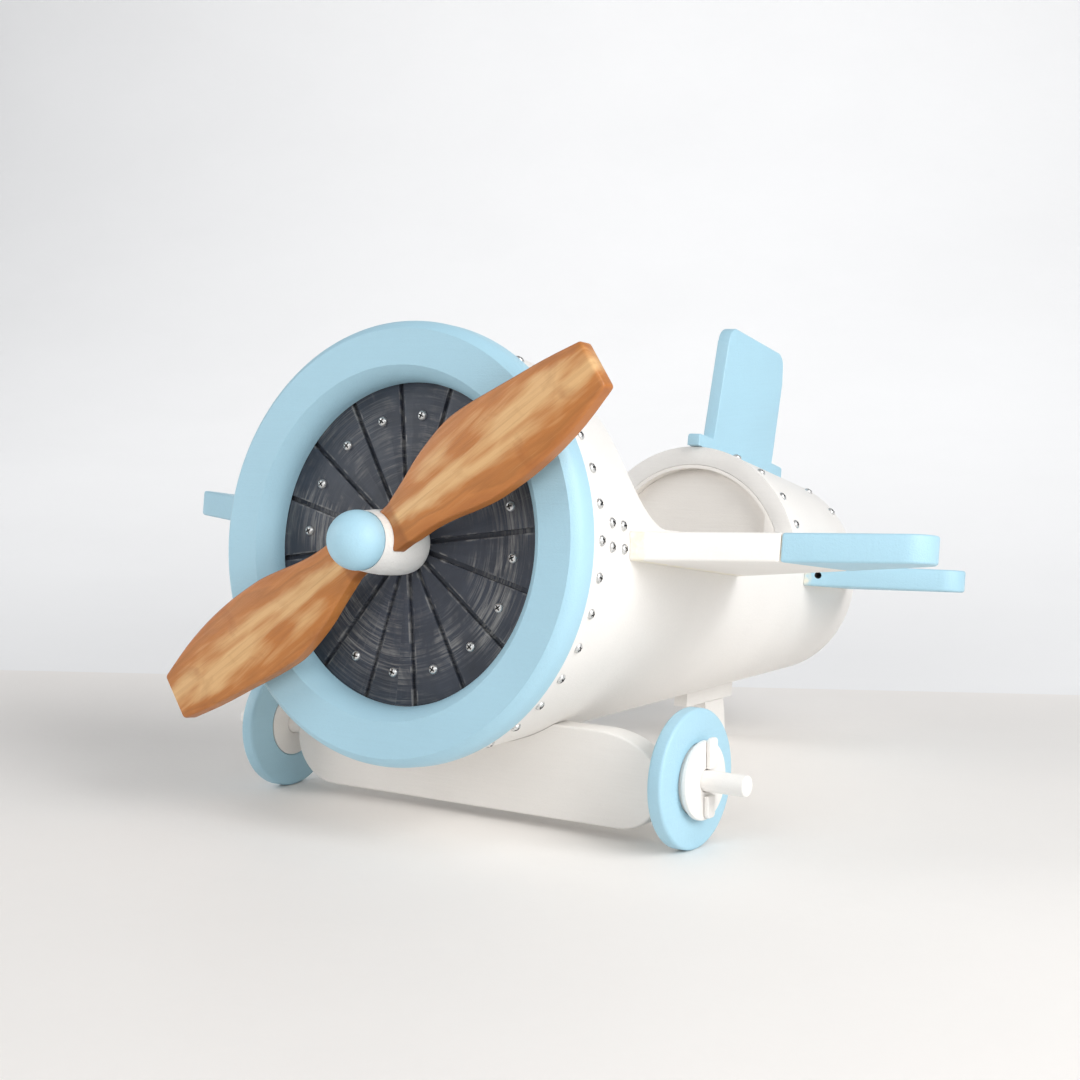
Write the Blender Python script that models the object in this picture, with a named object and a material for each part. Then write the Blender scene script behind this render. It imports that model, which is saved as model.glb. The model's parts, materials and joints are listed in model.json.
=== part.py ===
"""Wooden toy airplane: a tapered open-cockpit body with a round cowl, turning propeller and two wheels.

The airframe is modelled in its own frame, with the nose axis along local Y, and is pitched nose-up
by the parent empty "airframe", the way it stands on two front wheels and a tail skid.
Metres, +Z up, nose towards -Y, the pilot's left at +X, ground at Z = 0.
"""
import bpy
import bmesh
from math import acos, atan2, cos, hypot, pi, radians, sin, sqrt
from mathutils import Vector

GAP = 0.0003            # clearance between touching pieces

# stance
PITCH = radians(7.62)   # nose-up angle of the airframe
NOSE_Z = 0.2025         # height of the nose centre above the ground
NOSE_Y = -0.2395        # nose centre along Y, so that the whole object is centred

# cowl and engine disc
COWL_R = 0.150
COWL_BORE_R = 0.1094
COWL_FRONT = -0.0060
COWL_BACK = 0.0135
COWL_ROUND = 0.0070
DISC_T = 0.0120
DISC_R = 0.1301
GROOVES = 16
GROOVE_W = 0.0036
GROOVE_D = 0.0022
SCREW_RING_R = 0.0873
SCREW_HEAD_R = 0.0034
SCREW_HEAD_H = 0.0022
SCREW_SHANK_R = 0.0014
SCREW_SHANK_L = 0.0080
GROOVE_PHASE = radians(-8.5)

# body: a straight taper, the centre sinking a little towards the tail
BODY_FRONT = COWL_BACK + GAP
BODY_BACK = 0.5325
BODY_R_FRONT = 0.1468
BODY_R_BACK = 0.0828
BODY_DROP = 0.0030
WALL = 0.0147
BODY_SIDES = 72
COCKPIT_FRONT = 0.0825
COCKPIT_BACK = 0.3900
COCKPIT_SILL = 0.0228
COCKPIT_ROUND_FRONT = 0.0540
COCKPIT_ROUND_BACK = 0.0120
LINER_T = 0.0090          # arch-shaped lining in front of the seat back
LINER_R = 0.0825
LINER_HALF_W = 0.0680
SEAT_BACK_T = 0.0090
TAIL_PANEL_T = 0.0100

# propeller
BLADE_ANGLE = radians(53.6)     # of the upper blade from straight up, towards +X
BLADE_FRONT = -0.0285
BLADE_T = 0.0130
BLADE_STATIONS = (              # distance from the axis, width to one side, width to the other
    (0.012, 0.0125, 0.0170), (0.023, 0.0128, 0.0172), (0.030, 0.0150, 0.0180), (0.046, 0.0208, 0.0192),
    (0.060, 0.0262, 0.0218), (0.075, 0.0303, 0.0258), (0.090, 0.0330, 0.0294), (0.100, 0.0333, 0.0308),
    (0.115, 0.0318, 0.0318), (0.128, 0.0298, 0.0321), (0.150, 0.0262, 0.0308), (0.175, 0.0222, 0.0266),
    (0.2035, 0.0160, 0.0185))
HUB_FRONT = -0.0335
HUB_BACK = 0.0131
HUB_R = 0.0218
BALL_R = 0.0200
BALL_Y = -0.0410
SHAFT_R = 0.0055
SHAFT_FRONT = -0.0202
SHAFT_BACK = 0.0400
COLLAR_R = 0.0140
COLLAR_T = 0.0100

# wings and tail planes, (x, y) in the airframe
WING_T = 0.0195
WING_TIP_X = 0.2310
STAB_T = 0.0172
FIN_T = 0.0114
FIN_ROUND = 0.0120

# undercarriage
AXLE_Y = 0.0909         # behind the nose centre, level with the ground
AXLE_Z = 0.0475
WHEEL_R = 0.0475
WHEEL_BORE_R = 0.0240
WHEEL_IN = 0.1707
WHEEL_OUT = 0.1817
HUB_DISC_OUT = 0.1885
HUB_PLATE_IN = 0.1848    # the plate overlaps the wheel's face, 3 mm clear of it
HUB_PLATE_R = 0.0267
AXLE_R = 0.0072
AXLE_IN = 0.1250
AXLE_OUT = 0.2198
STRIP_T = 0.0034
STRIP_W = 0.0098
STRIPS = (              # name, up or down, offset towards the tail, inner end, outer end
    ("upper", 1.0, 0.0042, 0.0080, 0.0285), ("lower", -1.0, 0.0012, 0.0100, 0.0250))
BOARD_T = 0.0190
BOARD_HALF_L = 0.1590
BOARD_SHOULDER = 0.0510   # the upper corners fall away in a long curve
BOARD_LOW = 0.0078
BOARD_HIGH = 0.0741

# tail skid
KEEL_W = 0.0120
KEEL_FRONT = 0.3950
KEEL_BACK = 0.4700
KEEL_H = 0.0146
LEG_FRONT = 0.4255
LEG_BACK = 0.4560
LEG_FOOT = (-0.0040, 0.0190)


def material(name, colour, roughness, metallic=0.0):
    mat = bpy.data.materials.new(name)
    mat.use_nodes = True
    shader = mat.node_tree.nodes["Principled BSDF"]
    shader.inputs["Base Color"].default_value = (*colour, 1.0)
    shader.inputs["Roughness"].default_value = roughness
    shader.inputs["Metallic"].default_value = metallic
    mat.diffuse_color = (*colour, 1.0)
    return mat


WHITE = (0.86, 0.85, 0.82)
BLUE = (0.37, 0.66, 0.79)
SLATE = (0.045, 0.050, 0.062)
STAINED = (0.52, 0.24, 0.085)
PLAIN_WOOD = (0.62, 0.45, 0.27)
STEEL = (0.62, 0.62, 0.62)


def add(name, bm, parent, colour, roughness=0.5, metallic=0.0, smooth=True):
    """Close a bmesh into a named object with its own material, under a parent."""
    bmesh.ops.remove_doubles(bm, verts=bm.verts, dist=1e-6)
    bmesh.ops.recalc_face_normals(bm, faces=bm.faces)
    mesh = bpy.data.meshes.new(name)
    bm.to_mesh(mesh)
    bm.free()
    if smooth:
        mesh.shade_smooth()
        mesh.set_sharp_from_angle(angle=radians(35))
    obj = bpy.data.objects.new(name, mesh)
    bpy.context.collection.objects.link(obj)
    obj.parent = parent
    mesh.materials.append(material(name, colour, roughness, metallic))
    return obj


def cutter(name, bm, parent):
    obj = add(name, bm, parent, (1.0, 0.2, 0.2), smooth=False)
    obj.hide_render = True
    obj.display_type = 'WIRE'
    return obj


def cut(obj, tool):
    mod = obj.modifiers.new(tool.name, 'BOOLEAN')
    mod.operation = 'DIFFERENCE'
    mod.solver = 'EXACT'
    mod.object = tool


def turned(profile, steps, axis='Y', centre=(0.0, 0.0, 0.0), start=0.0):
    """Solid of revolution. The profile is a closed loop of (radius, distance along the axis)."""
    bm = bmesh.new()
    origin = Vector(centre)
    turn = Vector((0, 1, 0)) if axis == 'Y' else Vector((1, 0, 0))
    arm = Vector((sin(start), 0, cos(start))) if axis == 'Y' else Vector((0, sin(start), cos(start)))
    verts = [bm.verts.new(origin + arm * r + turn * a) for r, a in profile]
    edges = []
    for first, second, p, q in zip(verts, verts[1:] + verts[:1], profile, profile[1:] + profile[:1]):
        if p[0] < 1e-9 and q[0] < 1e-9:
            continue
        edges.append(bm.edges.new((first, second)))
    bmesh.ops.spin(bm, geom=verts + edges, cent=origin, axis=turn, angle=2 * pi, steps=steps,
                   use_merge=True, use_duplicate=False)
    bmesh.ops.remove_doubles(bm, verts=bm.verts, dist=1e-6)
    return bm


def arc(cx, cy, radius, start, end, steps):
    return [(cx + radius * cos(start + (end - start) * i / steps),
             cy + radius * sin(start + (end - start) * i / steps)) for i in range(steps + 1)]


def board(outline, low, high, place, rounding=0.0, keep_sharp=()):
    """Extrude a closed outline between two levels; place(u, v, w) gives each point in space.

    Edges of the two faces are rounded, but not the outline's segments listed in keep_sharp.
    """
    bm = bmesh.new()
    base = [bm.verts.new((u, v, low)) for u, v in outline]
    face = bm.faces.new(base)
    made = bmesh.ops.extrude_face_region(bm, geom=[face])
    top = [v for v in made["geom"] if isinstance(v, bmesh.types.BMVert)]
    bmesh.ops.translate(bm, verts=top, vec=(0, 0, high - low))
    bmesh.ops.recalc_face_normals(bm, faces=bm.faces)
    if rounding:
        sharp = set()
        count = len(outline)
        for i in keep_sharp:
            a, b = outline[i], outline[(i + 1) % count]
            sharp.add(((a[0] + b[0]) / 2, (a[1] + b[1]) / 2))
        chosen = []
        for edge in bm.edges:
            a, b = edge.verts
            if abs(a.co.z - b.co.z) > 1e-9:
                continue
            mid = (a.co + b.co) / 2
            if all(hypot(mid.x - s[0], mid.y - s[1]) > 1e-6 for s in sharp):
                chosen.append(edge)
        bmesh.ops.bevel(bm, geom=chosen, offset=rounding, segments=2, profile=0.5, affect='EDGES')
    for vert in bm.verts:
        vert.co = Vector(place(*vert.co))
    return bm


def body_radius(y):
    t = (y - BODY_FRONT) / (BODY_BACK - BODY_FRONT)
    return BODY_R_FRONT + (BODY_R_BACK - BODY_R_FRONT) * t


def body_centre(y):
    return -BODY_DROP * (y - BODY_FRONT) / (BODY_BACK - BODY_FRONT)


def ring_points(y, radius, count=BODY_SIDES):
    c = body_centre(y)
    return [(radius * sin(2 * pi * i / count), y, c + radius * cos(2 * pi * i / count)) for i in range(count)]


def lofted(rings, closed_loop):
    """Skin a series of point rings; a closed loop makes a tube with a wall, otherwise the ends are filled."""
    bm = bmesh.new()
    rows = [[bm.verts.new(p) for p in ring] for ring in rings]
    count = len(rows[0])
    pairs = list(zip(rows, rows[1:]))
    if closed_loop:
        pairs.append((rows[-1], rows[0]))
    for a, b in pairs:
        for i in range(count):
            j = (i + 1) % count
            bm.faces.new((a[i], a[j], b[j], b[i]))
    if not closed_loop:
        bm.faces.new(rows[0])
        bm.faces.new(rows[-1])
    return bm


def body_plug(front, back, offset):
    """Solid taper that follows the body's outer or inner surface at an offset."""
    return lofted([ring_points(y, body_radius(y) + offset) for y in (front, back)], False)


def empty(name, location, rotation, parent=None):
    obj = bpy.data.objects.new(name, None)
    bpy.context.collection.objects.link(obj)
    obj.empty_display_size = 0.03
    obj.location = location
    obj.rotation_euler = rotation
    obj.parent = parent
    return obj


def build_cowl(airframe):
    r = COWL_ROUND
    outer = arc(COWL_R - r, COWL_FRONT + r, r, -pi / 2, 0, 4)
    inner = arc(COWL_BORE_R + r, COWL_FRONT + r, r, -pi, -pi / 2, 4)
    profile = inner + outer + [(COWL_R, COWL_BACK - 0.001), (COWL_R - 0.001, COWL_BACK),
                               (COWL_BORE_R, COWL_BACK)]
    add("cowl_ring", turned(profile, 64), airframe, BLUE, 0.45)

    front = BODY_FRONT
    back = front + DISC_T
    disc = add("engine_disc", turned([(SHAFT_R + GAP, front), (DISC_R, front), (DISC_R, back),
                                      (SHAFT_R + GAP, back)], 64), airframe, SLATE, 0.6)
    bm = bmesh.new()
    for k in range(GROOVES):
        a = GROOVE_PHASE + 2 * pi * k / GROOVES
        start, end, half = 0.017, 0.140, GROOVE_W / 2
        arm, side = Vector((sin(a), 0, cos(a))), Vector((cos(a), 0, -sin(a)))
        corners = []
        for y in (front - 0.004, front + GROOVE_D):
            for along, across in ((start, -half), (end, -half), (end, half), (start, half)):
                corners.append(bm.verts.new(arm * along + side * across + Vector((0, y, 0))))
        for face in ((0, 1, 2, 3), (7, 6, 5, 4), (0, 4, 5, 1), (1, 5, 6, 2), (2, 6, 7, 3), (3, 7, 4, 0)):
            bm.faces.new([corners[i] for i in face])
    cut(disc, cutter("cut_grooves", bm, airframe))

    holes = bmesh.new()
    for k in range(GROOVES):
        a = GROOVE_PHASE + 2 * pi * (k + 0.5) / GROOVES
        x, z = SCREW_RING_R * sin(a), SCREW_RING_R * cos(a)
        part = turned([(0, front - 0.003), (SCREW_SHANK_R + GAP, front - 0.003),
                       (SCREW_SHANK_R + GAP, front + SCREW_SHANK_L + GAP), (0, front + SCREW_SHANK_L + GAP)],
                      8, centre=(x, 0, z))
        mesh = bpy.data.meshes.new("hole")
        part.to_mesh(mesh)
        part.free()
        holes.from_mesh(mesh)
        bpy.data.meshes.remove(mesh)
        face = front - GAP
        screw = turned([(0, face - SCREW_HEAD_H), (SCREW_HEAD_R * 0.62, face - SCREW_HEAD_H * 0.86),
                        (SCREW_HEAD_R, face - SCREW_HEAD_H * 0.3), (SCREW_HEAD_R, face),
                        (SCREW_SHANK_R, face), (SCREW_SHANK_R, front + SCREW_SHANK_L), (0, front + SCREW_SHANK_L)],
                       8, centre=(x, 0, z))
        add("disc_screw_%02d" % (k + 1), screw, airframe, STEEL, 0.3, 1.0)
    cut(disc, cutter("cut_screw_holes", holes, airframe))


def build_body(airframe):
    rings = [ring_points(BODY_FRONT, BODY_R_FRONT), ring_points(BODY_BACK, BODY_R_BACK),
             ring_points(BODY_BACK, BODY_R_BACK - WALL), ring_points(BODY_FRONT, BODY_R_FRONT - WALL)]
    shell = add("fuselage_shell", lofted(rings, True), airframe, WHITE, 0.5)
    f, b = COCKPIT_ROUND_FRONT, COCKPIT_ROUND_BACK
    outline = [(COCKPIT_FRONT, 0.20)]
    outline += arc(COCKPIT_FRONT + f, COCKPIT_SILL + f, f, pi, 1.5 * pi, 8)
    outline += arc(COCKPIT_BACK - b, COCKPIT_SILL + b, b, 1.5 * pi, 2 * pi, 4)
    outline += [(COCKPIT_BACK, 0.20)]
    opening = board(outline, -0.17, 0.17, lambda u, v, w: (w, u, v))
    cut(shell, cutter("cut_cockpit", opening, airframe))

    corner = acos(LINER_HALF_W / LINER_R)
    drop = body_centre(COCKPIT_BACK)
    hole = arc(0, drop, LINER_R, corner, pi - corner, 16) + arc(0, drop, LINER_R, pi + corner, 2 * pi - corner, 16)
    liner = add("seat_arch_liner", body_plug(COCKPIT_BACK, COCKPIT_BACK + LINER_T, -WALL - GAP), airframe,
                WHITE, 0.55)
    hollow = board(hole, COCKPIT_BACK - 0.01, COCKPIT_BACK + LINER_T + 0.01, lambda u, v, w: (u, w, v))
    cut(liner, cutter("cut_liner", hollow, airframe))
    front = COCKPIT_BACK + LINER_T + GAP
    add("seat_back_panel", body_plug(front, front + SEAT_BACK_T, -WALL - GAP), airframe, WHITE, 0.55)
    add("tail_end_panel", body_plug(BODY_BACK - TAIL_PANEL_T, BODY_BACK, -WALL - GAP), airframe, WHITE, 0.5)


def build_propeller(airframe):
    axis = empty("propeller_axis", (0, 0, 0), (0, BLADE_ANGLE, 0), airframe)
    outline = [(-a, z) for z, a, b in BLADE_STATIONS] + [(b, z) for z, a, b in reversed(BLADE_STATIONS)]
    root = len(outline) - 1
    taper = [(HUB_R - 0.0020, HUB_FRONT), (HUB_R - 0.0013, HUB_FRONT + 0.0040), (HUB_R - 0.0005, HUB_FRONT + 0.0110),
             (HUB_R, HUB_FRONT + 0.0190)]
    hub_cut = turned([(0, -0.05), (HUB_R - 0.0020 + GAP, -0.05)] + [(r + GAP, y) for r, y in taper]
                     + [(HUB_R + GAP, 0.02), (0, 0.02)], 64)
    tool = cutter("cut_blade_roots", hub_cut, axis)
    for name, turn in (("propeller_blade_upper", 1.0), ("propeller_blade_lower", -1.0)):
        blade = board(outline, BLADE_FRONT, BLADE_FRONT + BLADE_T,
                      lambda u, v, w, t=turn: (u * t, w, v * t), 0.0035, (root,))
        obj = add(name, blade, axis, STAINED, 0.45)
        cut(obj, tool)

    depth = sqrt((BALL_R + GAP) ** 2 - (HUB_FRONT - BALL_Y) ** 2)
    start = atan2(HUB_FRONT - BALL_Y, depth)
    bore = SHAFT_R + GAP
    end = atan2(sqrt((BALL_R + GAP) ** 2 - bore ** 2), bore)
    cup = arc(0, BALL_Y, BALL_R + GAP, end, start, 4)
    profile = cup + taper + [
                     (HUB_R, -0.004), (HUB_R - 0.0008, 0.008), (HUB_R - 0.0018, HUB_BACK - 0.0012),
                     (HUB_R - 0.0030, HUB_BACK), (bore, HUB_BACK)]
    add("propeller_hub", turned(profile, 40), axis, WHITE, 0.5)
    add("spinner_ball", turned([(BALL_R * abs(cos(t)) if 0 < i < 12 else 0.0, BALL_Y + BALL_R * sin(t))
                                for i, t in enumerate(-pi / 2 + pi * k / 12 for k in range(13))], 32),
        axis, BLUE, 0.4)
    add("propeller_shaft", turned([(0, SHAFT_FRONT), (SHAFT_R, SHAFT_FRONT), (SHAFT_R, SHAFT_BACK),
                                   (0, SHAFT_BACK)], 32), axis, PLAIN_WOOD, 0.6)
    low = BODY_FRONT + DISC_T + 2 * GAP
    add("shaft_collar", turned([(SHAFT_R + GAP, low), (COLLAR_R, low), (COLLAR_R, low + COLLAR_T),
                                (SHAFT_R + GAP, low + COLLAR_T)], 32), axis, PLAIN_WOOD, 0.6)


def planform(root_x, lead, trail, tip, radius):
    """Half a wing in plan: two straight edges that run into a rounded tip.

    lead and trail are points on the edges at root_x, tip is the centre of the rounding.
    """
    points = [(root_x, lead)]
    angles = []
    for y, side in ((lead, 1.0), (trail, -1.0)):
        dx, dy = tip[0] - root_x, tip[1] - y
        line = atan2(dy, dx) - side * atan2(radius, sqrt(dx * dx + dy * dy - radius * radius))
        angles.append(line - side * pi / 2)
    steps = 8
    points += [(tip[0] + radius * cos(angles[0] + (angles[1] - angles[0]) * i / steps),
                tip[1] + radius * sin(angles[0] + (angles[1] - angles[0]) * i / steps)) for i in range(steps + 1)]
    points.append((root_x, trail))
    return points


def split_outline(points, x):
    """Cut a planform at a station into the part before it and the part after it."""
    lead_in, lead_out = points[0], points[1]
    trail_out, trail_in = points[-2], points[-1]

    def on(a, b, at):
        return (at, a[1] + (b[1] - a[1]) * (at - a[0]) / (b[0] - a[0]))
    inner = [lead_in, on(lead_in, lead_out, x), on(trail_in, trail_out, x), trail_in]
    outer = [on(lead_in, lead_out, x + GAP)] + points[1:-1] + [on(trail_in, trail_out, x + GAP)]
    return inner, outer


def build_wings(airframe):
    taper = cutter("cut_body_outside", body_plug(BODY_FRONT, BODY_BACK, GAP), airframe)
    wing = planform(0.099, 0.0562, 0.2730, (0.2960, 0.1588), 0.0225)
    inner, outer = split_outline(wing, WING_TIP_X)
    stab = planform(0.060, 0.3955, 0.5230, (0.1960, 0.4560), 0.0180)
    for side, sign in (("left", 1.0), ("right", -1.0)):
        def wing_place(u, v, w, s=sign):
            return (s * u, v, w - 0.0090 + 0.075 * u - 0.020 * v)

        def stab_place(u, v, w, s=sign):
            return (s * u, v, w - 0.0118 + 0.035 * u - 0.002 * v)
        panel = add(side + "_wing", board(inner, 0, WING_T, wing_place, 0.0018, (1, 3)), airframe, WHITE, 0.5)
        cut(panel, taper)
        last = len(outer) - 1
        add(side + "_wing_tip", board(outer, 0, WING_T, wing_place, 0.0018, (last,)), airframe, BLUE, 0.45)
        tail = add(side + "_stabilizer", board(stab, 0, STAB_T, stab_place, 0.0016, (len(stab) - 1,)),
                   airframe, BLUE, 0.45)
        cut(tail, taper)

    r = FIN_ROUND
    fin = [(0.3840, 0.085), (0.3840, 0.1075), (0.3855, 0.1088), (0.4090, 0.1066), (0.4218, 0.1900)]
    fin += arc(0.4345, 0.1893, r, radians(172), radians(98), 5)
    fin += arc(0.5085, 0.1785, r, radians(80), radians(6), 5)
    fin += [(0.5215, 0.1640), (0.5125, 0.0945), (0.5305, 0.0918), (0.5320, 0.0903), (0.5320, 0.070)]
    obj = add("tail_fin", board(fin, -FIN_T / 2, FIN_T / 2, lambda u, v, w: (w, u, v), 0.0012, (len(fin) - 1,)),
              airframe, BLUE, 0.45)
    cut(obj, taper)

    keel = [(KEEL_FRONT, -0.085), (KEEL_BACK, -0.080),
            (KEEL_BACK, body_centre(KEEL_BACK) - body_radius(KEEL_BACK) - KEEL_H),
            (KEEL_FRONT, body_centre(KEEL_FRONT) - body_radius(KEEL_FRONT) - KEEL_H)]
    bar = add("tail_keel", board(keel, -KEEL_W / 2, KEEL_W / 2, lambda u, v, w: (w, u, v)), airframe, WHITE, 0.5)
    cut(bar, taper)


def build_undercarriage(airframe):
    """Gear board, two axle dowels and two wheels, upright on the ground."""
    ground = empty("undercarriage", (0, NOSE_Y + AXLE_Y, AXLE_Z), (0, 0, 0))
    r = (BOARD_HIGH - BOARD_LOW) / 2
    mid = (BOARD_HIGH + BOARD_LOW) / 2 - AXLE_Z
    end = arc(BOARD_HALF_L - r, mid, r, -pi / 2, 0, 6)
    end += [(BOARD_HALF_L - BOARD_SHOULDER * (1 - cos(t)), mid + r * sin(t)) for t in (pi * k / 16 for k in range(1, 9))]
    outline = end + [(-u, v) for u, v in reversed(end)]
    plank = add("gear_board", board(outline, -BOARD_T / 2, BOARD_T / 2, lambda u, v, w: (u, w, v), 0.0015),
                ground, WHITE, 0.5)
    cut(plank, cutter("cut_cradle", body_plug(BODY_FRONT, BODY_BACK, GAP), airframe))
    for side, sign in (("left", 1.0), ("right", -1.0)):
        bore = turned([(0, 0), (AXLE_R + GAP, 0), (AXLE_R + GAP, 0.06), (0, 0.06)], 20, 'X', (AXLE_IN - GAP, 0, 0))
        mirrored(bore, sign)
        cut(plank, cutter("cut_axle_" + side, bore, ground))
        dowel = turned([(0, AXLE_IN), (AXLE_R, AXLE_IN), (AXLE_R, AXLE_OUT - 0.001), (AXLE_R - 0.001, AXLE_OUT),
                        (0, AXLE_OUT)], 20, 'X')
        mirrored(dowel, sign)
        add(side + "_axle", dowel, ground, WHITE, 0.5)

        hub = empty(side + "_wheel_axis", (0, 0, 0), (0, 0, 0), ground)
        e = 0.002
        tyre = turned([(WHEEL_BORE_R, WHEEL_IN), (WHEEL_R - e, WHEEL_IN), (WHEEL_R - e * 0.3, WHEEL_IN + e * 0.3),
                       (WHEEL_R, WHEEL_IN + e), (WHEEL_R, WHEEL_OUT - e), (WHEEL_R - e * 0.3, WHEEL_OUT - e * 0.3),
                       (WHEEL_R - e, WHEEL_OUT), (WHEEL_BORE_R, WHEEL_OUT)], 48, 'X')
        mirrored(tyre, sign)
        add(side + "_wheel", tyre, hub, BLUE, 0.45)
        plug = turned([(AXLE_R + GAP, WHEEL_IN), (WHEEL_BORE_R - GAP, WHEEL_IN),
                       (WHEEL_BORE_R - GAP, HUB_PLATE_IN), (HUB_PLATE_R, HUB_PLATE_IN),
                       (HUB_PLATE_R, HUB_DISC_OUT - 0.001), (HUB_PLATE_R - 0.001, HUB_DISC_OUT),
                       (AXLE_R + GAP, HUB_DISC_OUT)], 32, 'X')
        mirrored(plug, sign)
        add(side + "_hub_disc", plug, hub, WHITE, 0.5)
        low = HUB_DISC_OUT + GAP
        for place, up, shift, start, stop in STRIPS:
            half = STRIP_W / 2
            strip = [(shift - half, start), (shift + half, start)]
            strip += arc(shift + half - 0.003, stop - 0.003, 0.003, 0, pi / 2, 3)
            strip += arc(shift + 0.003 - half, stop - 0.003, 0.003, pi / 2, pi, 3)
            obj = board(strip, low, low + STRIP_T, lambda u, v, w, s=sign, k=up: (s * w, u, v * k), 0.0008)
            add("%s_hub_strip_%s" % (side, place), obj, hub, WHITE, 0.5)


def mirrored(bm, sign):
    if sign < 0:
        bmesh.ops.scale(bm, vec=(-1, 1, 1), verts=bm.verts)
        bmesh.ops.reverse_faces(bm, faces=bm.faces)


def build_skid():
    """Flat tail leg, upright on the ground, its top against the underside of the keel."""
    top = []
    for y in (LEG_BACK, LEG_FRONT):
        z = body_centre(y) - body_radius(y) - KEEL_H - GAP
        top.append((NOSE_Y + y * cos(PITCH) + z * sin(PITCH), NOSE_Z - y * sin(PITCH) + z * cos(PITCH)))
    middle = (top[0][0] + top[1][0]) / 2
    r = 0.0040
    leg = [(y - middle, z) for y, z in top]
    leg += [(leg[1][0] + 0.002, 0.016)] + arc(LEG_FOOT[0] + r, r, r, pi, 1.5 * pi, 3)
    leg += arc(LEG_FOOT[1] - r, r, r, 1.5 * pi, 2 * pi, 3) + [(leg[0][0] + 0.002, 0.020)]
    stand = empty("tail_stand", (0, middle, 0), (0, 0, 0))
    add("tail_leg", board(leg, -KEEL_W / 2, KEEL_W / 2, lambda u, v, w: (w, u, v)), stand, WHITE, 0.5)


def main():
    for obj in list(bpy.data.objects):
        bpy.data.objects.remove(obj)
    airframe = empty("airframe", (0, NOSE_Y, NOSE_Z), (-PITCH, 0, 0))
    build_cowl(airframe)
    build_body(airframe)
    build_propeller(airframe)
    build_wings(airframe)
    build_undercarriage(airframe)
    build_skid()


main()
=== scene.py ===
"""Wooden toy airplane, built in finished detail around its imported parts.

Metres, +Z up, nose towards -Y, the pilot's left at +X, ground at Z = 0.
The airframe is modelled level, with the nose axis along Y, and is then pitched nose-up.
"""

import json
from math import acos, asin, atan2, cos, pi, radians, sin, sqrt

import bpy
from bpy.props import FloatProperty, FloatVectorProperty, IntProperty, PointerProperty
from bpy.types import Operator, Panel, PropertyGroup
from mathutils import Matrix, Vector


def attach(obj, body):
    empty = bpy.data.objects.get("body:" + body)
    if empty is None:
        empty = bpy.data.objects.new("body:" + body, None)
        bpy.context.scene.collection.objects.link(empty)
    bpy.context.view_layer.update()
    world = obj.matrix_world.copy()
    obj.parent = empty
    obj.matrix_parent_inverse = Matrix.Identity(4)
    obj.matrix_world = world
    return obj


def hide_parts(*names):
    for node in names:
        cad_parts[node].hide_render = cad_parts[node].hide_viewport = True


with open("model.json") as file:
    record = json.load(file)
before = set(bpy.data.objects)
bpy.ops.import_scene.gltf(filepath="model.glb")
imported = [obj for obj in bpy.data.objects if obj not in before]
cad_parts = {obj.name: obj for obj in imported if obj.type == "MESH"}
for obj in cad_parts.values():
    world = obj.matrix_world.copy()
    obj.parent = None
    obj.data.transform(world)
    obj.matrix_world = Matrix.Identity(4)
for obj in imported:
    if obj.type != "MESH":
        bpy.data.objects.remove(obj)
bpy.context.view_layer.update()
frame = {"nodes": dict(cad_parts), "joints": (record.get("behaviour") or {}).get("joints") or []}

bl_info = {
    "name": "Wooden Toy Airplane",
    "version": (1, 0, 0),
    "blender": (4, 5, 0),
    "location": "3D View > Sidebar > Airplane",
    "description": "Builds the pieces and finishes of a wooden toy airplane",
    "category": "Add Mesh",
}

JOINTS = {joint["name"]: joint for joint in frame["joints"]}
NOSE = Vector(JOINTS["propeller_spin"]["pos_m"])
SPIN_AXIS = Vector(JOINTS["propeller_spin"]["axis"])
PITCH = -atan2(SPIN_AXIS.z, SPIN_AXIS.y)
AIRFRAME = Matrix.Translation(NOSE) @ Matrix.Rotation(-PITCH, 4, 'X')
AXLE = Vector(JOINTS["left_wheel_spin"]["pos_m"])
UNDERCARRIAGE = Matrix.Translation((0, AXLE.y, AXLE.z))
SIDES = (("left", 1.0), ("right", -1.0))
# a board stood on edge, lengthwise and crosswise
SIDEWAYS = Matrix(((0, 0, 1, 0), (1, 0, 0, 0), (0, 1, 0, 0), (0, 0, 0, 1)))
UPRIGHT = Matrix(((1, 0, 0, 0), (0, 0, 1, 0), (0, 1, 0, 0), (0, 0, 0, 1)))
# how a pattern is turned: with the airframe, or with its strokes from nose to tail
LEVELLED = (-PITCH, 0, 0)
LENGTHWISE = (0, 0, pi / 2)

GAP = 0.0003                # clearance between touching pieces

# cowl and engine disc
COWL_R, COWL_BORE_R = 0.150, 0.1094
COWL_FRONT, COWL_BACK, COWL_BACK_ROUND = -0.0060, 0.0135, 0.0015
COWL_SWEEP = (              # the rounding starts at a crisp line on the face and dies away down the side
    (1.0, 0.0), (0.70, 0.235), (0.44, 0.50), (0.22, 0.80), (0.07, 1.15), (0.0, 1.55))
DISC_R, DISC_FRONT, DISC_T, DISC_EASE = 0.1301, 0.0138, 0.0120, 0.0004
GROOVES = 16
GROOVE_IN, GROOVE_OUT = 0.0170, 0.1400
GROOVE_PHASE = radians(-8.5)
SCREW_RING_R, DISC_SCREW_H = 0.0873, 0.0022

# body
BODY_FRONT, BODY_BACK = 0.0138, 0.5325
BODY_R_FRONT, BODY_R_BACK = 0.1468, 0.0828
BODY_DROP, WALL = 0.0030, 0.0147
TAPER = (BODY_R_BACK - BODY_R_FRONT) / (BODY_BACK - BODY_FRONT)
BODY_EASE = 0.0012
COCKPIT_FRONT, COCKPIT_BACK, COCKPIT_SILL = 0.0825, 0.3900, 0.0228
COCKPIT_FRONT_ROUND, COCKPIT_BACK_ROUND = 0.0540, 0.0120
CUTTER_TOP, CUTTER_HALF_W = 0.20, 0.17
LINER_T, LINER_R, LINER_HALF_W, LINER_EASE = 0.0090, 0.0825, 0.0680, 0.0010

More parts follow.
